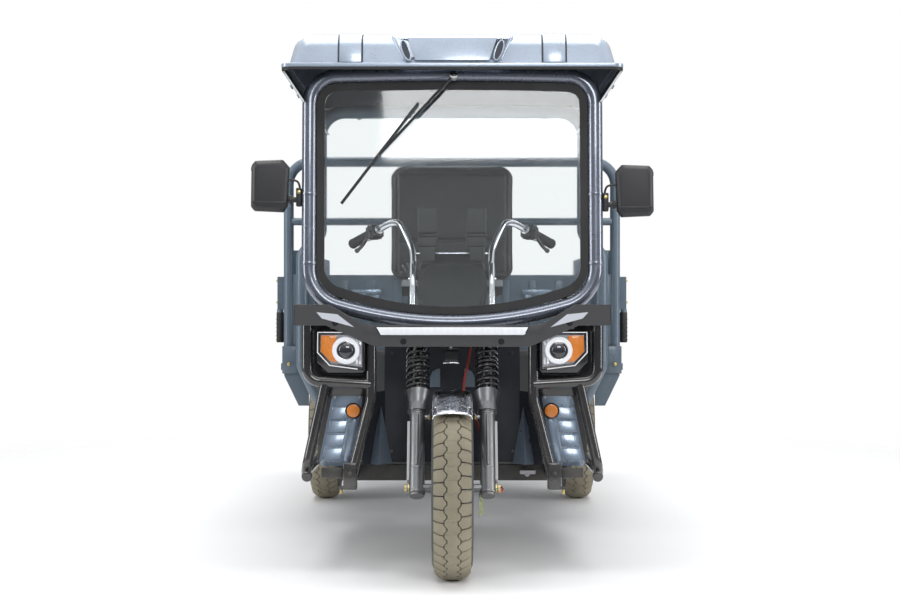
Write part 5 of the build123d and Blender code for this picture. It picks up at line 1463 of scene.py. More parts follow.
def face_points(scale, out, above=-1.0):
    """The face's outline, shrunk about its middle and moved out of its plane."""
    return [face_foot + Vector((u * scale, 0, 0)) + face_up * (face_middle + (v - face_middle) * scale)
            + face_out * out for u, v in face_outline if v > above]


apron = plate(face_points(1.0, 0.0), face_out * -0.0048, 0.002)
brow = plate(face_points(1.0, 0.0008, 0.11), face_out * -0.044, 0.009, 4)
panel = plate(face_points(0.90, 0.0), face_out * 0.0030, 0.0016)
# The bead's lighter grey is partly a painted highlight for its specular line.
highlight_bead = bent_rod(face_points(0.945, 0.0008), 0.0022, True, 2, cyclic=True)
case = plate([(-0.1080, y, z) for y, z in ((-1.1585, 0.9380), (-1.0395, 0.8700), (-1.0004, 0.9272),
                                          (-1.0492, 1.0107), (-1.1260, 0.9870))], (0.216, 0, 0), 0.014, 4)
cowl = plate([(-0.1045, y, z) for y, z in ((-1.1230, 0.9820), (-1.0680, 1.0240), (-1.0480, 1.0200),
                                          (-1.0280, 0.9800))], (0.209, 0, 0), 0.009, 4)
console_parts = painted("plastic", apron, brow, case, cowl, panel) + painted("bumper_grey", highlight_bead)
# Steps of a shoulder, from its foot up: x, y, z, bevel
shoulder_steps = (((0.058, 0.108), (-1.100, -1.061), (0.985, 1.046), 0.004),
                  ((0.048, 0.114), (-1.104, -1.059), (1.044, 1.080), 0.006),
                  ((0.0445, 0.1168), (-1.1062, -1.057), (1.079, 1.0890), 0.003),
                  ((0.047, 0.1155), (-1.1050, -1.058), (1.088, 1.1790), 0.008))
for side in (-1, 1):
    for xs, ys, zs, width in shoulder_steps:
        console_parts += painted("plastic", side_box(side, xs, ys, zs, width, 3))
dial_middle = Vector((0, -1.0248, 0.9690))
dial_up = Vector((0, -0.504, 0.864))
dial_out = Vector((0, 0.864, 0.504))


def dial_plate(middle_x, half_x, half_up, out, thick, width):
    """A rounded plate on the rider's side of the console."""
    middle = dial_middle + Vector((middle_x, 0, 0)) + dial_out * out
    return plate([middle + Vector((x * half_x, 0, 0)) + dial_up * (up * half_up)
                  for x, up in ((-1, -1), (1, -1), (1, 1), (-1, 1))], dial_out * thick, width, 3)


console_parts += painted("gloss_black_and_shade", dial_plate(0, 0.058, 0.034, -0.001, 0.006, 0.004))
console_parts += painted("projector", dial_plate(0, 0.049, 0.026, 0.0035, 0.002, 0.0008))
for x, radius, reach, finish in ((0.080, 0.013, 0.006, "steel"), (0.080, 0.004, 0.018, "gloss_black_and_shade"),
                                 (-0.080, 0.012, 0.014, "gloss_black_and_shade"), (-0.080, 0.009, 0.017, "rubber")):
    foot = dial_middle + Vector((x, 0, 0))
    console_parts += painted(finish, rod(foot, foot + dial_out * reach, radius, 0.001, sides=24))
gadget = side_box(-1, (0.127, 0.158), (-1.088, -1.056), (0.942, 0.960), 0.003)
gadget_arms = [rod((-0.150, -1.078, 0.950), (-0.166, -1.074, 0.984), 0.004, 0.001, sides=12),
               rod((-0.138, -1.080, 0.950), (-0.150, -1.080, 0.992), 0.0045, 0.001, sides=12),
               rod((-0.155, -1.085, 0.955), (-0.172, -1.088, 0.962), 0.005, 0.001, sides=12)]
right_gadget = side_box(1, (0.124, 0.146), (-1.084, -1.058), (0.946, 0.972), 0.003)
console_parts += painted("gloss_black_and_shade", gadget, right_gadget) + painted("gloss_black_and_shade", *gadget_arms)
for side in (-1, 1):
    stanchion = leg_rod(side, 0.632, 0.790, 0.0106, 0.002, 32, x=0.1305, back=-0.090)
    console_parts += painted("chrome", stanchion)
hand_over("dashboard_console", "steering", console_parts, ("console",), smooth=34)

# %% [markdown]
# A grip is a ribbed rubber sleeve with a flange, and a switch pod clamps the bar beside it. One side is
# modelled along the bar, with a lever hung below the front of the pod, and then mirrored.

# %% Grips, switch pods and levers
grip_tip = Vector((0.349, -0.743, 1.068))
grip_inner = Vector((0.213, -0.928, 1.131))
bar_way = (grip_inner - grip_tip).normalized()
ahead = Vector((-bar_way.y, bar_way.x, 0)).normalized()
bar_up = bar_way.cross(ahead)
bar_up = bar_up if bar_up.z > 0 else -bar_up


def on_bar(along, forward=0.0, up=0.0):
    """A point by its distances along the bar from the tip, in front of it and above it."""
    return grip_tip + bar_way * along + ahead * forward + bar_up * up


def bar_box(along, forward, up, width, segments=3):
    """A block laid out along the bar."""
    part = block((along[0], forward[0], up[0]), (along[1], forward[1], up[1]), width, segments)
    axes = Matrix((bar_way, ahead, bar_up)).transposed().to_4x4()
    part.data.transform(Matrix.Translation(grip_tip) @ axes)
    if axes.determinant() < 0:
        part.data.flip_normals()
    return part


sleeve_parts = [rod(on_bar(-0.006), on_bar(0.1165), 0.0158, sides=28),
                rod(on_bar(-0.008), on_bar(0.002), 0.0178, 0.002, sides=28),
                rod(on_bar(0.1120), on_bar(0.1178), 0.0225, 0.0015, sides=32)]
sleeve_parts += [rod(on_bar(0.006 + 0.0076 * index), on_bar(0.0108 + 0.0076 * index), 0.0172, 0.0008,
                     sides=28)
                 for index in range(14)]
pod_parts = [bar_box((0.1180, 0.1630), (-0.024, 0.026), (-0.025, 0.022), 0.009, 4),
             bar_box((0.1390, 0.1402), (-0.0248, 0.0268), (-0.0258, 0.0228), 0.0004, 1),
             bar_box((0.1240, 0.1560), (0.018, 0.036), (-0.030, 0.004), 0.005, 3)]
button_parts = [rod(on_bar(0.128, -0.022, 0.004), on_bar(0.128, -0.029, 0.004), 0.0052, 0.001, sides=18),
                rod(on_bar(0.148, -0.022, -0.004), on_bar(0.148, -0.028, -0.004), 0.0068, 0.001, sides=18)]
switch = bar_box((0.1420, 0.1540), (-0.030, -0.020), (0.006, 0.014), 0.001, 2)
lever = bent_rod([on_bar(*place) for place in ((0.142, 0.030, -0.018), (0.132, 0.040, -0.032),
                                               (0.112, 0.044, -0.046),
                                               (0.080, 0.042, -0.050))], 0.0060, True, 3)
lever_end = rod(on_bar(0.082, 0.042, -0.050), on_bar(0.070, 0.042, -0.050), 0.0082, 0.003, sides=20)
pivot = rod(on_bar(0.142, 0.030, -0.034), on_bar(0.142, 0.030, -0.006), 0.0055, 0.001, sides=16)
collar = rod(on_bar(0.1640), on_bar(0.1700), 0.0165, 0.0015, sides=28)
right_parts = (painted("rubber", *sleeve_parts) + painted("plastic", *pod_parts)
               + painted("steel", *button_parts, pivot, collar) + painted("gloss_black_and_shade", switch)
               + painted("gloss_black_and_shade", lever, lever_end))
grip_parts = right_parts + [mirrored(part) for part in right_parts]
hand_over("handlebar_grips", "steering", grip_parts, ("grips",), smooth=36)

# %% [markdown]
# The cushion and the backrest are real upholstery: a closed shape, remeshed into small even faces and blown
# up a little by a cloth simulation, which pulls the sides in between the corners. How far a point may move
# is capped, and what rests on a plate stays flat. Only then are the seams pressed in and the piping laid.


# %% Padded pieces
def padded_block(low, high, corner_axis, corner, edge, cap, rest_axis, rest_value):
    """A cushion between two corners; one axis has wide corners, and one side rests flat."""
    pad = block(low, high)
    select_in_part(pad, "EDGE", lambda middle, way: abs(way[corner_axis]) > 0.8)
    bpy.ops.mesh.bevel(offset=corner, segments=5)
    bpy.ops.object.mode_set(mode="OBJECT")
    soften(pad, edge, 4, 40)
    modify(pad, "REMESH", mode="VOXEL", voxel_size=0.0056)
    homes = [vertex.co.copy() for vertex in pad.data.vertices]
    cloth = pad.modifiers.new("padding", "CLOTH")
    cloth.settings.use_pressure = True
    cloth.settings.uniform_pressure_force = 4.0
    cloth.settings.effector_weights.gravity = 0.0
    for frame_number in range(1, 21):
        bpy.context.scene.frame_set(frame_number)
    bpy.ops.object.modifier_apply(modifier=cloth.name)
    bpy.context.scene.frame_set(1)
    for vertex, home in zip(pad.data.vertices, homes):
        step = vertex.co - home
        if step.length > cap:
            vertex.co = home + step * (cap / step.length)
        if abs(home[rest_axis] - rest_value) < 0.004:
            vertex.co[rest_axis] = home[rest_axis]
    return modify(pad, "SUBSURF", levels=1, render_levels=1)


def press_seams(pad, seams, depth, width):
    """Press sewn channels into a pad: seams are pairs of points, and the pull fades with the distance."""
    normals = [vertex.normal.copy() for vertex in pad.data.vertices]
    for vertex, normal in zip(pad.data.vertices, normals):
        nearest = 1.0
        for start, end in seams:
            span = end - start
            share = min(1.0, max(0.0, (vertex.co - start).dot(span) / span.length_squared))
            nearest = min(nearest, (vertex.co - start - span * share).length)
        if nearest < width * 3:
            vertex.co -= normal * (depth * 2.718 ** (-((nearest / width) ** 2)))
    pad.data.update()


def piping(pad, points, radius):
    """A welt cord laid on the pad's surface along a closed line."""
    laid = []
    surface = BVHTree.FromPolygons([vertex.co for vertex in pad.data.vertices],
                                   [face.vertices for face in pad.data.polygons])
    for start, end in zip(points, points[1:] + points[:1]):
        count = max(1, round((end - start).length / 0.012))
        for step in range(count):
            place, normal = surface.find_nearest(start + (end - start) * (step / count))[:2]
            laid.append(place + normal * (radius * 0.3))
    return bent_rod(laid, radius, True, 2, cyclic=True)


# %% Seat cushion
cushion_low, cushion_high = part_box("seat_cushion")
shrink = 0.006
cushion = padded_block(cushion_low + Vector((shrink, shrink, 0.0004)),
                       cushion_high - Vector((shrink, shrink, shrink)),
                       2, 0.045, 0.020, 0.010, 2, cushion_low.z + 0.0004)
rim_x, front_rim, back_rim_y = cushion_high.x - 0.012, cushion_low.y + 0.012, cushion_high.y - 0.012
seam_z = cushion_high.z + 0.002
seams = [(Vector((-rim_x, y, seam_z)), Vector((rim_x, y, seam_z))) for y in (-0.478, -0.408, -0.338)]
seams += [(Vector((x, front_rim, seam_z)), Vector((x, back_rim_y, seam_z))) for x in (-0.155, 0.155)]
press_seams(cushion, seams, 0.0055, 0.007)
welts = [piping(cushion, [Vector((x, y, z)) for x, y in
                          ((-rim_x + 0.035, front_rim), (rim_x - 0.035, front_rim),
                           (rim_x, front_rim + 0.035),
                           (rim_x, back_rim_y - 0.035), (rim_x - 0.035, back_rim_y),
                           (-rim_x + 0.035, back_rim_y),
                           (-rim_x, back_rim_y - 0.035), (-rim_x, front_rim + 0.035))], 0.0028)
         for z in (cushion_high.z - 0.008, cushion_low.z + 0.012)]
seat_parts = painted("leather", cushion, *welts)
seat_piece = hand_over("sewn_seat_cushion", "chassis", seat_parts, ("seat_cushion",),
                       smooth=60)

# %% Backrest
rest_low, rest_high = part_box("backrest")
backrest = padded_block(rest_low + Vector((shrink, shrink, shrink)),
                        rest_high - Vector((shrink, 0.0004, shrink)),
                        1, 0.050, 0.018, 0.009, 1, rest_high.y - 0.0004)
seam_y = rest_low.y
inset_x, inset_low, inset_high = rest_high.x - 0.036, rest_low.z + 0.040, rest_high.z - 0.040
frame_line = [Vector((x, seam_y, z)) for x, z in ((-inset_x, inset_low), (inset_x, inset_low),
                                                  (inset_x, inset_high), (-inset_x, inset_high))]
seams = list(zip(frame_line, frame_line[1:] + frame_line[:1]))
seams.append((Vector((-inset_x, seam_y, 1.095)), Vector((inset_x, seam_y, 1.095))))
press_seams(backrest, seams, 0.0050, 0.006)
rest_x, rest_z0, rest_z1 = rest_high.x - 0.008, rest_low.z + 0.008, rest_high.z - 0.008
welts = [piping(backrest, [Vector((x, y, z)) for x, z in
                           ((-rest_x + 0.04, rest_z0), (rest_x - 0.04, rest_z0), (rest_x, rest_z0 + 0.04),
                            (rest_x, rest_z1 - 0.04), (rest_x - 0.04, rest_z1), (-rest_x + 0.04, rest_z1),
                            (-rest_x, rest_z1 - 0.04), (-rest_x, rest_z0 + 0.04))], 0.0026)
         for y in (rest_low.y + 0.010, rest_high.y - 0.010)]
backrest_parts = painted("leather", backrest, *welts)
rest_piece = hand_over("sewn_backrest", "chassis", backrest_parts, ("backrest",), smooth=60)

# %% [markdown]
# The bar itself is one chromed tube: up from the crown, out at a bend, and back along the grips. A thin
# brace ties the two risers just above the console.

# %% Handlebar
bar_middle = ((0.131, -1.0995, 0.9035), (0.131, -1.0700, 0.9546), (0.131, -1.0320, 1.0200),
              (0.140, -1.0120, 1.0520),
              (0.170, -0.9800, 1.1180), (0.186, -0.9600, 1.1330), (0.213, -0.9282, 1.1310),
              (0.240, -0.8910, 1.1185))
bar_parts = []
for side in (-1, 1):
    path = [Vector((side * x, y, z)) for x, y, z in bar_middle]
    tip = Vector((side * 0.349, -0.743, 1.068))
    path.append(tip + (tip - path[-1]).normalized() * 0.008)
    bar_parts.append(bent_rod(path, 0.0110, True, 5))
    foot = path[0]
    rise = (path[1] - path[0]).normalized()
    bar_parts.append(rod(foot, foot + rise * 0.034, 0.0165, 0.002, sides=28))
    bar_parts.append(rod(foot + rise * 0.034, foot + rise * 0.040, 0.0185, 0.001, sides=6))
bar_parts.append(rod((-0.131, -1.0290, 1.0250), (0.131, -1.0290, 1.0250), 0.0042, sides=16))
hand_over("chrome_handlebar", "steering", painted("chrome", *bar_parts), ("handlebar",),
          smooth=40)

# %% [markdown]
# The wheel well is stiffened by small folded gussets, and two wire handles and a pair of curved brackets
# show beside the horn. Dark housing panels close the space between the lamps and the guard tubes.

# %% Wheel well gussets, handles and lamp housings
well_parts = []
for side in (-1, 1):
    apex = Vector((side * 0.232, -1.2200, 0.520))
    outer, front, inner = (Vector((side * x, y, 0.3365)) for x,
                           y in ((0.275, -1.260), (0.236, -1.300), (0.196, -1.240)))
    for first, second in ((outer, front), (front, inner)):
        well_parts += painted("silver_blue", plate([first, second, apex], (0, 0.0022, 0), 0.0004, 1))
    top_z = 0.393
    handle_y = -1.150
    handle = bent_rod([(side * x, y, z) for x, y, z in
                       ((0.142, handle_y + 0.020, top_z), (0.142, handle_y - 0.012, top_z),
                        (0.196, handle_y - 0.012, top_z), (0.196, handle_y + 0.020, top_z))], 0.0024, True, 2)
    bracket = front_plate(((0.040, 0.579), (0.074, 0.579), (0.074, 0.612), (0.066, 0.630), (0.052, 0.639),
                           (0.040, 0.641)), side, handle_y, 0.004, 0.001)
    well_parts += painted("chassis", handle) + painted("bed_paint", bracket)
    for x, z in ((0.100, 0.690), (0.200, 0.690), (0.200, 0.370)):
        head = Vector((side * x, -1.1885 + (z - 0.336) * 0.232, z))
        well_parts += painted("chassis", rod(head + Vector((0, 0.004, 0)), head - Vector((0, 0.0045, 0)),
                                             0.006,
                                             0.001, sides=6))
hand_over("wheel_well_fittings", "chassis", well_parts)

housing_parts = []
# Outline of a housing panel, right side: x, z
housing_panel = ((0.268, 0.770), (0.268, 0.560), (0.420, 0.560), (0.452, 0.610), (0.462, 0.660),
                 (0.462, 0.800), (0.392, 0.832), (0.290, 0.775))
for side in (-1, 1):
    back_panel = front_plate(housing_panel, side, lamp_high.y - 0.010, 0.004, 0.001)
    brow_panel = front_plate(((0.270, 0.7715), (0.392, 0.7715), (0.392, 0.7760), (0.270, 0.7760)), side,
                             lamp_high.y - 0.030, 0.022, 0.0008)
    chin = front_plate(((0.276, 0.6330), (0.388, 0.6330), (0.392, 0.6260), (0.276, 0.6260)), side,
                       lamp_high.y - 0.034, 0.026, 0.0008)
    housing_parts += painted("gloss_black_and_shade", back_panel, brow_panel, chin)
hand_over("lamp_housings", "chassis", housing_parts)

# %% [markdown]
# Behind the cab the headboard has pressed ribs and two folded brackets in the cab's colour. Bolts with
# washers hold it to its posts, and folded plates close its ends.

# %% Headboard pressings
panel_low, panel_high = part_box("headboard_panel")
head_parts = []
rib_half = 0.014
for index in range(11):
    x = -0.525 + 0.105 * index
    for y, out in ((panel_low.y, -0.0032), (panel_high.y, 0.0032)):
        rib = block((x - rib_half, min(y, y + out) - 0.0002, panel_low.z + 0.022),
                    (x + rib_half, max(y, y + out) + 0.0002, panel_high.z - 0.022), 0.0028, 3)
        head_parts += painted("bed_paint", rib)
for side in (-1, 1):
    top = side_box(side, (0.275, 0.390), (panel_low.y - 0.010, panel_low.y - 0.0035), (0.886, 0.909), 0.002)
    legs = [front_plate(corners, side, panel_low.y - 0.0095, 0.006, 0.0015)
            for corners in (((0.284, 0.888), (0.312, 0.888), (0.304, 0.862), (0.288, 0.862)),
                            ((0.342, 0.888), (0.384, 0.888), (0.372, 0.850), (0.356, 0.850)))]
    head_parts += painted("silver_blue", top, *legs)
    for z in (0.730, 0.930):
        for y, way in ((panel_low.y, -1), (panel_high.y, 1)):
            washer = side_rod(side, (0.593, y, z), (0.593, y + way * 0.0022, z), 0.0105, 0.0005, sides=24)
            bolt = side_rod(side, (0.593, y, z), (0.593, y + way * 0.0085, z), 0.0065, 0.0008, sides=6)
            head_parts += painted("steel", washer) + painted("zinc", bolt)
    head_parts += painted("bed_paint", side_box(side, (0.596, 0.6245),
                                                (panel_low.y + 0.002, panel_low.y + 0.008),
                                                (0.6205, 0.968), 0.001))
    head_parts += painted("bed_paint", side_box(side, (0.597, 0.664), (-0.1065, -0.1015), (0.580, 0.688),
                                                0.003))
    head_parts += painted("zinc", side_rod(side, (0.638, -0.1060, 0.617), (0.638, -0.1150, 0.617), 0.0075,
                                           0.001, sides=6))
hand_over("headboard_pressings", "chassis", head_parts)

# %% [markdown]
# The drop gates are folded sheet steel: a skin, a box rail along the top and bottom, a stile at each end
# and pressed ribs between them. One routine lays a gate along its run, for both sides and for the tail.


# %% Drop gates
def folded_gate(run, depth, low_z, high_z, lay, rib_gap):
    """Parts of a gate: run is its start and end, depth its inner and outer face, and lay makes a block."""
    start, end = run
    inner, outer = depth
    skin = inner + (outer - inner) * 0.42
    parts = [lay((start, end), (skin, skin + (outer - inner) * 0.12), (low_z + 0.01, high_z - 0.01), 0),
             lay((start, end), (inner, outer), (high_z - 0.030, high_z), 0.004),
             lay((start, end), (inner, outer), (low_z, low_z + 0.034), 0.004),
             lay((start, start + 0.034), (inner, outer), (low_z + 0.001, high_z - 0.001), 0.004),
             lay((end - 0.034, end), (inner, outer), (low_z + 0.001, high_z - 0.001), 0.004)]
    count = max(1, round((end - start - 0.08) / rib_gap))
    for index in range(count):
        middle = start + 0.034 + (end - start - 0.068) * (index + 0.5) / count
        half = rib_gap * 0.26
        parts.append(lay((middle - half, middle + half), (skin, outer - 0.004),
                         (low_z + 0.052, high_z - 0.048), 0.0085))
        parts.append(lay((middle - half, middle + half), (inner + 0.004, skin + 0.002),
                         (low_z + 0.052, high_z - 0.048),
                         0.0085))
    return parts


def hinge_leaf(lay, at, outer, low_z, width):
    """The plate and bolts of one hinge on the outer face of a gate."""
    parts = [lay((at - width / 2, at + width / 2), (outer - 0.001, outer + 0.0028),
                 (low_z + 0.0335, low_z + 0.075), 0.001)]
    for shift in (-0.3, 0.3):
        parts.append(lay((at + shift * width - 0.006, at + shift * width + 0.006),
                         (outer + 0.002, outer + 0.0075),
                         (low_z + 0.049, low_z + 0.061), 0.002))
    return parts


pin_z = 0.672
rail_low_z, rail_high_z = 0.706, 0.966
hinge_half = 0.022
knuckle_half = 0.0218
side_hinges = (0.063, 0.809, 1.555)
gate_faces = (0.602, 0.632)
gate_run = (-0.040, 1.715)
board_length = 0.3982
board_step = board_length + 0.0541
for side, name in ((1, "left"), (-1, "right")):
    node = f"side_gate_{name}"

    def lay_side(run, depth, height, width):
        """A block of a side gate: run along Y, depth outwards."""
        return side_box(side, depth, run, height, width, 3)

    parts = folded_gate(gate_run, gate_faces, rail_low_z, rail_high_z, lay_side, 0.165)
    for y in side_hinges:
        parts += hinge_leaf(lay_side, y, gate_faces[1], rail_low_z, 0.044)
        parts.append(side_box(side, (gate_faces[1] - 0.002, 0.6630), (y - hinge_half, y + hinge_half),
                              (rail_low_z, 0.7395),
                              0.003, 2))
        knuckle = side_rod(side, (0.655, y - knuckle_half, pin_z), (0.655, y + knuckle_half, pin_z), 0.0079,
                           sides=24)
        web = side_box(side, (0.6475, 0.6625), (y - knuckle_half, y + knuckle_half), (pin_z + 0.002, 0.708),
                       0.001)
        parts += [knuckle, web]
    for index in range(4):
        low_y = gate_run[0] + board_step * index
        board = side_box(side, (0.6035, 0.6305), (low_y, low_y + board_length), (0.9663, 1.0650), 0.005, 3)
        groove_panel = side_box(side, (0.6020, 0.6320), (low_y + 0.022, low_y + board_length - 0.022),
                                (0.9850, 1.0460), 0.006, 3)
        parts += [board, groove_panel]
    gate_parts = painted("bed_paint", *parts)
    for index in range(4):
        low_y = gate_run[0] + board_step * index
        for y in (low_y + 0.040, low_y + board_length - 0.040):
            gate_parts += painted("zinc", side_rod(side, (0.630, y, 0.9755), (0.6375, y, 0.9755), 0.0062,
                                                   0.001, sides=6))
    hand_over(f"folded_{node}", node, gate_parts, (node,), smooth=34)


# %% Tailgate
def lay_tail(run, depth, height, width):
    """A block of the tailgate: run along X, depth backwards."""
    return block((run[0], depth[0], height[0]), (run[1], depth[1], height[1]), width, 3)


tail_faces = (1.722, 1.752)
tail_hinges = (-0.4, 0.0, 0.4)
tail_pin_y = 1.765
tail_parts = folded_gate((-0.632, 0.632), tail_faces, rail_low_z, rail_high_z, lay_tail, 0.150)
for x in tail_hinges:
    tail_parts += hinge_leaf(lay_tail, x, tail_faces[1], rail_low_z, 0.044)
    tail_parts.append(lay_tail((x - hinge_half, x + hinge_half), (tail_faces[1] - 0.002, 1.7725),
                               (rail_low_z, 0.7395), 0.003))
    tail_parts.append(rod((x - knuckle_half, tail_pin_y, pin_z), (x + knuckle_half, tail_pin_y, pin_z),
                          0.0079, sides=24))
    tail_parts.append(lay_tail((x - knuckle_half, x + knuckle_half), (1.7575, 1.7725), (pin_z + 0.002, 0.708),
                               0.001))
tail_parts = painted("bed_paint", *tail_parts)
hand_over("folded_tailgate", "tailgate", tail_parts, ("tailgate",), smooth=34)

# %% [markdown]
# Lever latches hold the gates. They get rubber grips, with rings on the side gates' ones, and the heads
# of their bolts and rivets.

# %% Latch fittings
latch_parts = []
for side in (-1, 1):
    grip = side_rod(side, (0.680, -0.021, 0.820), (0.680, -0.021, 0.700), 0.0146, 0.003, sides=28)
    rings = [side_rod(side, (0.680, -0.021, z), (0.680, -0.021, z + 0.006), 0.0158, 0.001, sides=28)
             for z in (0.708, 0.724, 0.740, 0.756, 0.772, 0.788)]
    latch_parts += painted("rubber", grip, *rings)
    for x0, x1, y, z, finish in ((0.689, 0.6955, -0.021, 0.945, "zinc"),
                                 (0.689, 0.6955, -0.021, 0.860, "zinc"),
                                 (0.6445, 0.6490, -0.004, 0.805, "steel"),
                                 (0.6445, 0.6490, -0.034, 0.805, "steel"),
                                 (0.674, 0.6800, 1.735, 0.912, "zinc"),
                                 (0.642, 0.6470, 1.730, 0.775, "steel"),
                                 (0.642, 0.6470, 1.743, 0.775, "steel")):
        latch_parts += painted(finish, side_rod(side, (x0, y, z), (x1, y, z), 0.0060, 0.001, sides=6))
    tail_grip = side_rod(side, (0.6595, 1.735, 0.865), (0.6595, 1.735, 0.796), 0.0185, 0.004, sides=28)
    latch_parts += painted("rubber", tail_grip)
hand_over("latch_fittings", "chassis", latch_parts)

# %% [markdown]
# The bed floor is sheet steel with long pressed ribs and a row of countersunk screws over each cross
# member. In the cab a ribbed rubber mat lies on the floor, with a raised edge.

# %% Bed floor ribs and cab mat
floor_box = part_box("bed_floor")
floor_parts = []
rib_top = floor_box[1].z + 0.0026
for index in range(13):
    x = -0.528 + 0.088 * index
    rib = block((x - 0.016, -0.020, floor_box[1].z - 0.001), (x + 0.016, 1.690, rib_top), 0.0022, 2)
    floor_parts += painted("bed_paint", rib)
for y in (0.320, 0.712, 1.270):
    for index in range(12):
        x = -0.484 + 0.088 * index
        floor_parts += painted("zinc", rod((x, y, floor_box[1].z - 0.001), (x, y, floor_box[1].z + 0.0018),
                                           0.007,
                                           0.0008, sides=16))
hand_over("bed_floor_ribs", "chassis", floor_parts)

cab_low, cab_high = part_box("cab_floor")
mat_front, mat_back = cab_low.y + 0.125, -0.565
mat_parts = [block((-0.428, mat_front, cab_high.z), (0.428, mat_back, cab_high.z + 0.004), 0.002)]
rib_count = 28
for index in range(rib_count):
    y = mat_front + 0.016 + (mat_back - mat_front - 0.032) * index / (rib_count - 1)
    mat_parts.append(block((-0.414, y - 0.0042, cab_high.z + 0.003), (0.414, y + 0.0042, cab_high.z + 0.0068),
                           0.0018))
for x0, x1, y0, y1 in ((-0.428, -0.419, mat_front, mat_back), (0.419, 0.428, mat_front, mat_back),
                       (-0.428, 0.428, mat_front, mat_front + 0.009),
                       (-0.428, 0.428, mat_back - 0.009, mat_back)):
    mat_parts.append(block((x0, y0, cab_high.z + 0.001), (x1, y1, cab_high.z + 0.0095), 0.0025))
hand_over("cab_floor_mat", "chassis", painted("rubber", *mat_parts))

# %% [markdown]
# The seat box has pressed louvres in its sides and front, a lid line below the cushion, a round lock in
# front, and two hinges behind.

# %% Seat box fittings
box_low, box_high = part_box("seat_box")
seat_box_parts = []
for side in (-1, 1):
    for index in range(6):
        z = 0.410 + 0.032 * index
        louvre = side_box(side, (box_high.x - 0.001, box_high.x + 0.0055), (-0.480, -0.280), (z, z + 0.013),
                          0.0045, 3)
        seat_box_parts += painted("dark_panel", louvre)
    for y in (-0.515, -0.240):
        for z in (0.372, 0.640):
            seat_box_parts += painted("steel", side_rod(side, ((box_high.x - 0.001), y, z),
                                                        ((box_high.x + 0.005), y, z),
                                                   0.0065, 0.001, sides=6))
    seat_box_parts += painted("steel", side_box(side, (0.150, 0.210),
                                                (box_high.y - 0.001, box_high.y + 0.0030),
                                                (0.600, 0.676), 0.001))
for low, high in (((-0.283, box_low.y - 0.003, 0.664), (0.283, box_low.y + 0.001, 0.6788)),
                  ((-0.283, box_low.y, 0.664), (-0.2795, box_high.y - 0.002, 0.6788)),
                  ((0.2795, box_low.y, 0.664), (0.283, box_high.y - 0.002, 0.6788))):
    seat_box_parts += painted("dark_panel", block(low, high, 0.001))
for index in range(5):
    x = -0.200 + 0.100 * index
    slot = block((x - 0.036, box_low.y - 0.004, 0.420), (x + 0.036, box_low.y + 0.001, 0.600), 0.0038, 3)
    seat_box_parts += painted("dark_panel", slot)
lock = rod((0.0, box_low.y - 0.001, 0.640), (0.0, box_low.y - 0.009, 0.640), 0.012, 0.002, sides=28)
lock_slot = block((-0.0012, box_low.y - 0.0096, 0.634), (0.0012, box_low.y - 0.0085, 0.646))
seat_box_parts += painted("steel", lock) + painted("chassis", lock_slot)
hand_over("seat_box_fittings", "chassis", seat_box_parts)

# %% [markdown]
# Each tail lamp is a black housing with three ribbed lenses: amber outside, red in the middle and clear
# inside. The blank plate sits in a folded frame, and the flaps hang from strips with screws.

# %% Tail lamps, plate frame and flap strips
lamp_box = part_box("tail_lamps")
lens_front = lamp_box[1].y
tail_lamp_parts = []
for side in (-1, 1):
    housing = side_box(side, (0.448, 0.586), (lamp_box[0].y, lens_front - 0.008), (0.582, 0.662), 0.006, 3)
    rim_plate = side_box(side, (0.449, 0.585), (lens_front - 0.010, lens_front - 0.005), (0.583, 0.661),
                         0.0022, 2)
    tail_lamp_parts += painted("gloss_black_and_shade", housing, rim_plate)
    for x0, x1, finish in ((0.454, 0.490, "white_lens"), (0.492, 0.542, "red_lens"), (0.544, 0.580, "amber")):
        tail_lamp_parts += painted(finish, side_box(side, (x0, x1), (lens_front - 0.007, lens_front),
                                                    (0.588, 0.656), 0.004, 3))
    for x in (0.491, 0.543):
        tail_lamp_parts += painted("chassis", side_rod(side, (x, lens_front - 0.006, 0.592),
                                                       (x, lens_front - 0.0015, 0.592),
                                                  0.0025, sides=10))
hand_over("ribbed_tail_lamps", "chassis", tail_lamp_parts, ("tail_lamps",), smooth=40)

plate_low, plate_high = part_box("rear_plate")
plate_parts = []
for x0, x1, z0, z1 in ((-0.1135, 0.1135, 0.4665, 0.4715), (-0.1135, 0.1135, 0.5885, 0.5935),
                       (-0.1135, -0.1085, 0.4665, 0.5935), (0.1085, 0.1135, 0.4665, 0.5935)):
    plate_parts += painted("gloss_black_and_shade", block((x0, plate_low.y, z0), (x1, plate_high.y + 0.0025, z1),
                                                   0.001))
for x in (-0.085, 0.085):
    plate_parts += painted("steel", rod((x, plate_high.y - 0.001, 0.575), (x, plate_high.y + 0.0025, 0.575),
                                        0.005, 0.001, sides=20))
flap_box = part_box("mud_flaps")
for side in (-1, 1):
    strip = side_box(side, (0.482, 0.587), (flap_box[1].y, flap_box[1].y + 0.003), (0.560, 0.590), 0.0008)
    weight = side_box(side, (0.484, 0.585), (flap_box[1].y, flap_box[1].y + 0.004), (0.256, 0.272), 0.0015)
    plate_parts += painted("steel", strip) + painted("rubber", weight)
    for x in (0.500, 0.5345, 0.569):
        head = side_rod(side, (x, flap_box[1].y + 0.002, 0.575), (x, flap_box[1].y + 0.008, 0.575), 0.0062,
                        0.001, sides=6)
        plate_parts += painted("zinc", head)
    for index in range(5):
        rib = side_box(side, (0.494 + 0.018 * index, 0.4975 + 0.018 * index),
                       (flap_box[1].y, flap_box[1].y + 0.0022),
                       (0.285, 0.545), 0.0009)
        plate_parts += painted("rubber", rib)
hand_over("rear_plate_and_flap_fittings", "chassis", plate_parts)

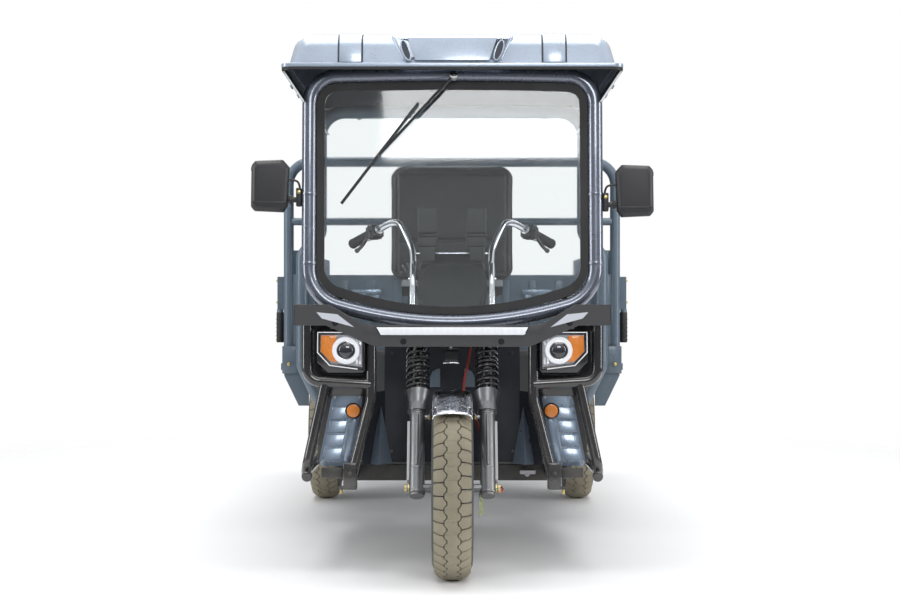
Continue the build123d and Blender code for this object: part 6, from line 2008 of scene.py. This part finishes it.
# %% [markdown]
# Under the bed each leaf spring is a stack of five curved leaves, the long one with rolled eyes. U bolts
# clamp the stack to the axle, and shackles with rubber bushes hang its ends from the rails.

# %% Leaf springs
leaf_low, leaf_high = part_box("leaf_springs")
axle_y = (leaf_low.y + leaf_high.y) / 2
leaf_reach = 0.450
leaf_middle_z = 0.3540
leaf_rise = 0.112
leaf_thick = 0.0048
eye_z = leaf_middle_z + leaf_rise + 0.010
bolt_top_z = leaf_middle_z + 0.010
spring_parts = []
for side in (-1, 1):
    for index, share in enumerate((1.0, 0.82, 0.64, 0.47, 0.31)):
        steps = 20
        upper = []
        for step in range(steps + 1):
            run = leaf_reach * share * (2 * step / steps - 1)
            height = leaf_middle_z + leaf_rise * (run / leaf_reach) ** 2 - leaf_thick * index
            upper.append((run, height))
        corners = [(side * 0.3455, axle_y + run, z) for run, z in upper]
        corners += [(side * 0.3455, axle_y + run, z - leaf_thick * 0.93) for run, z in reversed(upper)]
        spring_parts += painted("chassis", plate(corners, (side * 0.049, 0, 0)))
    for end in (-1, 1):
        eye_y = axle_y + end * leaf_reach
        for x0, x1, radius, width, sides, finish in ((0.345, 0.395, 0.0150, 0.002, 28, "chassis"),
                                                     (0.343, 0.397, 0.0100, 0.001, 24, "rubber"),
                                                     (0.334, 0.406, 0.0060, 0.001, 6, "zinc")):
            pin = side_rod(side, (x0, eye_y, eye_z), (x1, eye_y, eye_z), radius, width, sides)
            spring_parts += painted(finish, pin)
        for x in (0.339, 0.3965):
            hanger = side_box(side, (x, x + 0.0045), (eye_y - 0.016, eye_y + 0.016),
                              (leaf_middle_z + leaf_rise - 0.008, leaf_high.z - 0.0005), 0.001)
            spring_parts += painted("chassis", hanger)
        clip = side_box(side, (0.3435, 0.3965), (axle_y + end * 0.215 - 0.010, axle_y + end * 0.215 + 0.010),
                        (leaf_middle_z + 0.007, leaf_middle_z + 0.029), 0.002)
        spring_parts += painted("chassis", clip)
        bolt_y = axle_y + end * 0.036
        for x in (0.3400, 0.4000):
            shank = side_rod(side, (x, bolt_y, 0.238), (x, bolt_y, bolt_top_z), 0.0050, sides=16)
            nut = side_rod(side, (x, bolt_y, 0.240), (x, bolt_y, 0.250), 0.0090, 0.001, 6)
            spring_parts += painted("steel", shank) + painted("zinc", nut)
        over = side_rod(side, (0.3400, bolt_y, bolt_top_z), (0.4000, bolt_y, bolt_top_z), 0.0050, sides=16)
        spring_parts += painted("steel", over)
    clamp_plate = side_box(side, (0.330, 0.410), (axle_y - 0.050, axle_y + 0.050), (0.2440, 0.2520), 0.002)
    pad_plate = side_box(side, (0.340, 0.400), (axle_y - 0.046, axle_y + 0.046), (0.3095, 0.3300), 0.002)
    spring_parts += painted("chassis", clamp_plate, pad_plate)
hand_over("stacked_leaf_springs", "chassis", spring_parts, ("leaf_springs",), smooth=32)

# %% [markdown]
# The motor's housing carries cooling rings and a bolted end cover, and the axle case a ring with bolts
# round its seam.

# %% Motor rings and axle bolts
motor_low, motor_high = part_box("drive_motor")
motor_middle = (motor_low + motor_high) / 2
motor_parts = []
for index in range(9):
    x = -0.028 + 0.0165 * index
    ring = spun([(0.0, 0.0745), (0.0, 0.0800), (0.0050, 0.0800), (0.0050, 0.0745)],
                (x, motor_middle.y, motor_middle.z), 48)
    motor_parts += painted("cast_grey", ring)
cover = rod((motor_high.x - 0.022, motor_middle.y, motor_middle.z),
            (motor_high.x + 0.004, motor_middle.y, motor_middle.z),
            0.0785, 0.004, sides=48)
motor_parts += painted("cast_grey", cover)
for index in range(6):
    turn = 2 * pi * index / 6
    spot = Vector((motor_high.x + 0.003, motor_middle.y + 0.064 * sin(turn),
                   motor_middle.z + 0.064 * cos(turn)))
    motor_parts += painted("zinc", rod(spot, spot + Vector((0.007, 0, 0)), 0.0060, 0.001, sides=6))
axle_low, axle_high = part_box("rear_axle")
axle_middle = (axle_low + axle_high) / 2
for index in range(8):
    turn = 2 * pi * (index + 0.5) / 8
    spot = Vector((0, axle_middle.y + 0.097 * sin(turn), axle_middle.z + 0.097 * cos(turn)))
    motor_parts += painted("steel", rod(spot - Vector((0.016, 0, 0)), spot + Vector((0.016, 0, 0)), 0.0070,
                                        0.001, sides=6))
seam_ring = spun([(-0.006, 0.090), (-0.006, 0.103), (0.006, 0.103), (0.006, 0.090)], tuple(axle_middle), 48)
motor_parts += painted("cast_grey", seam_ring)
hand_over("motor_and_axle_fittings", "chassis", motor_parts)
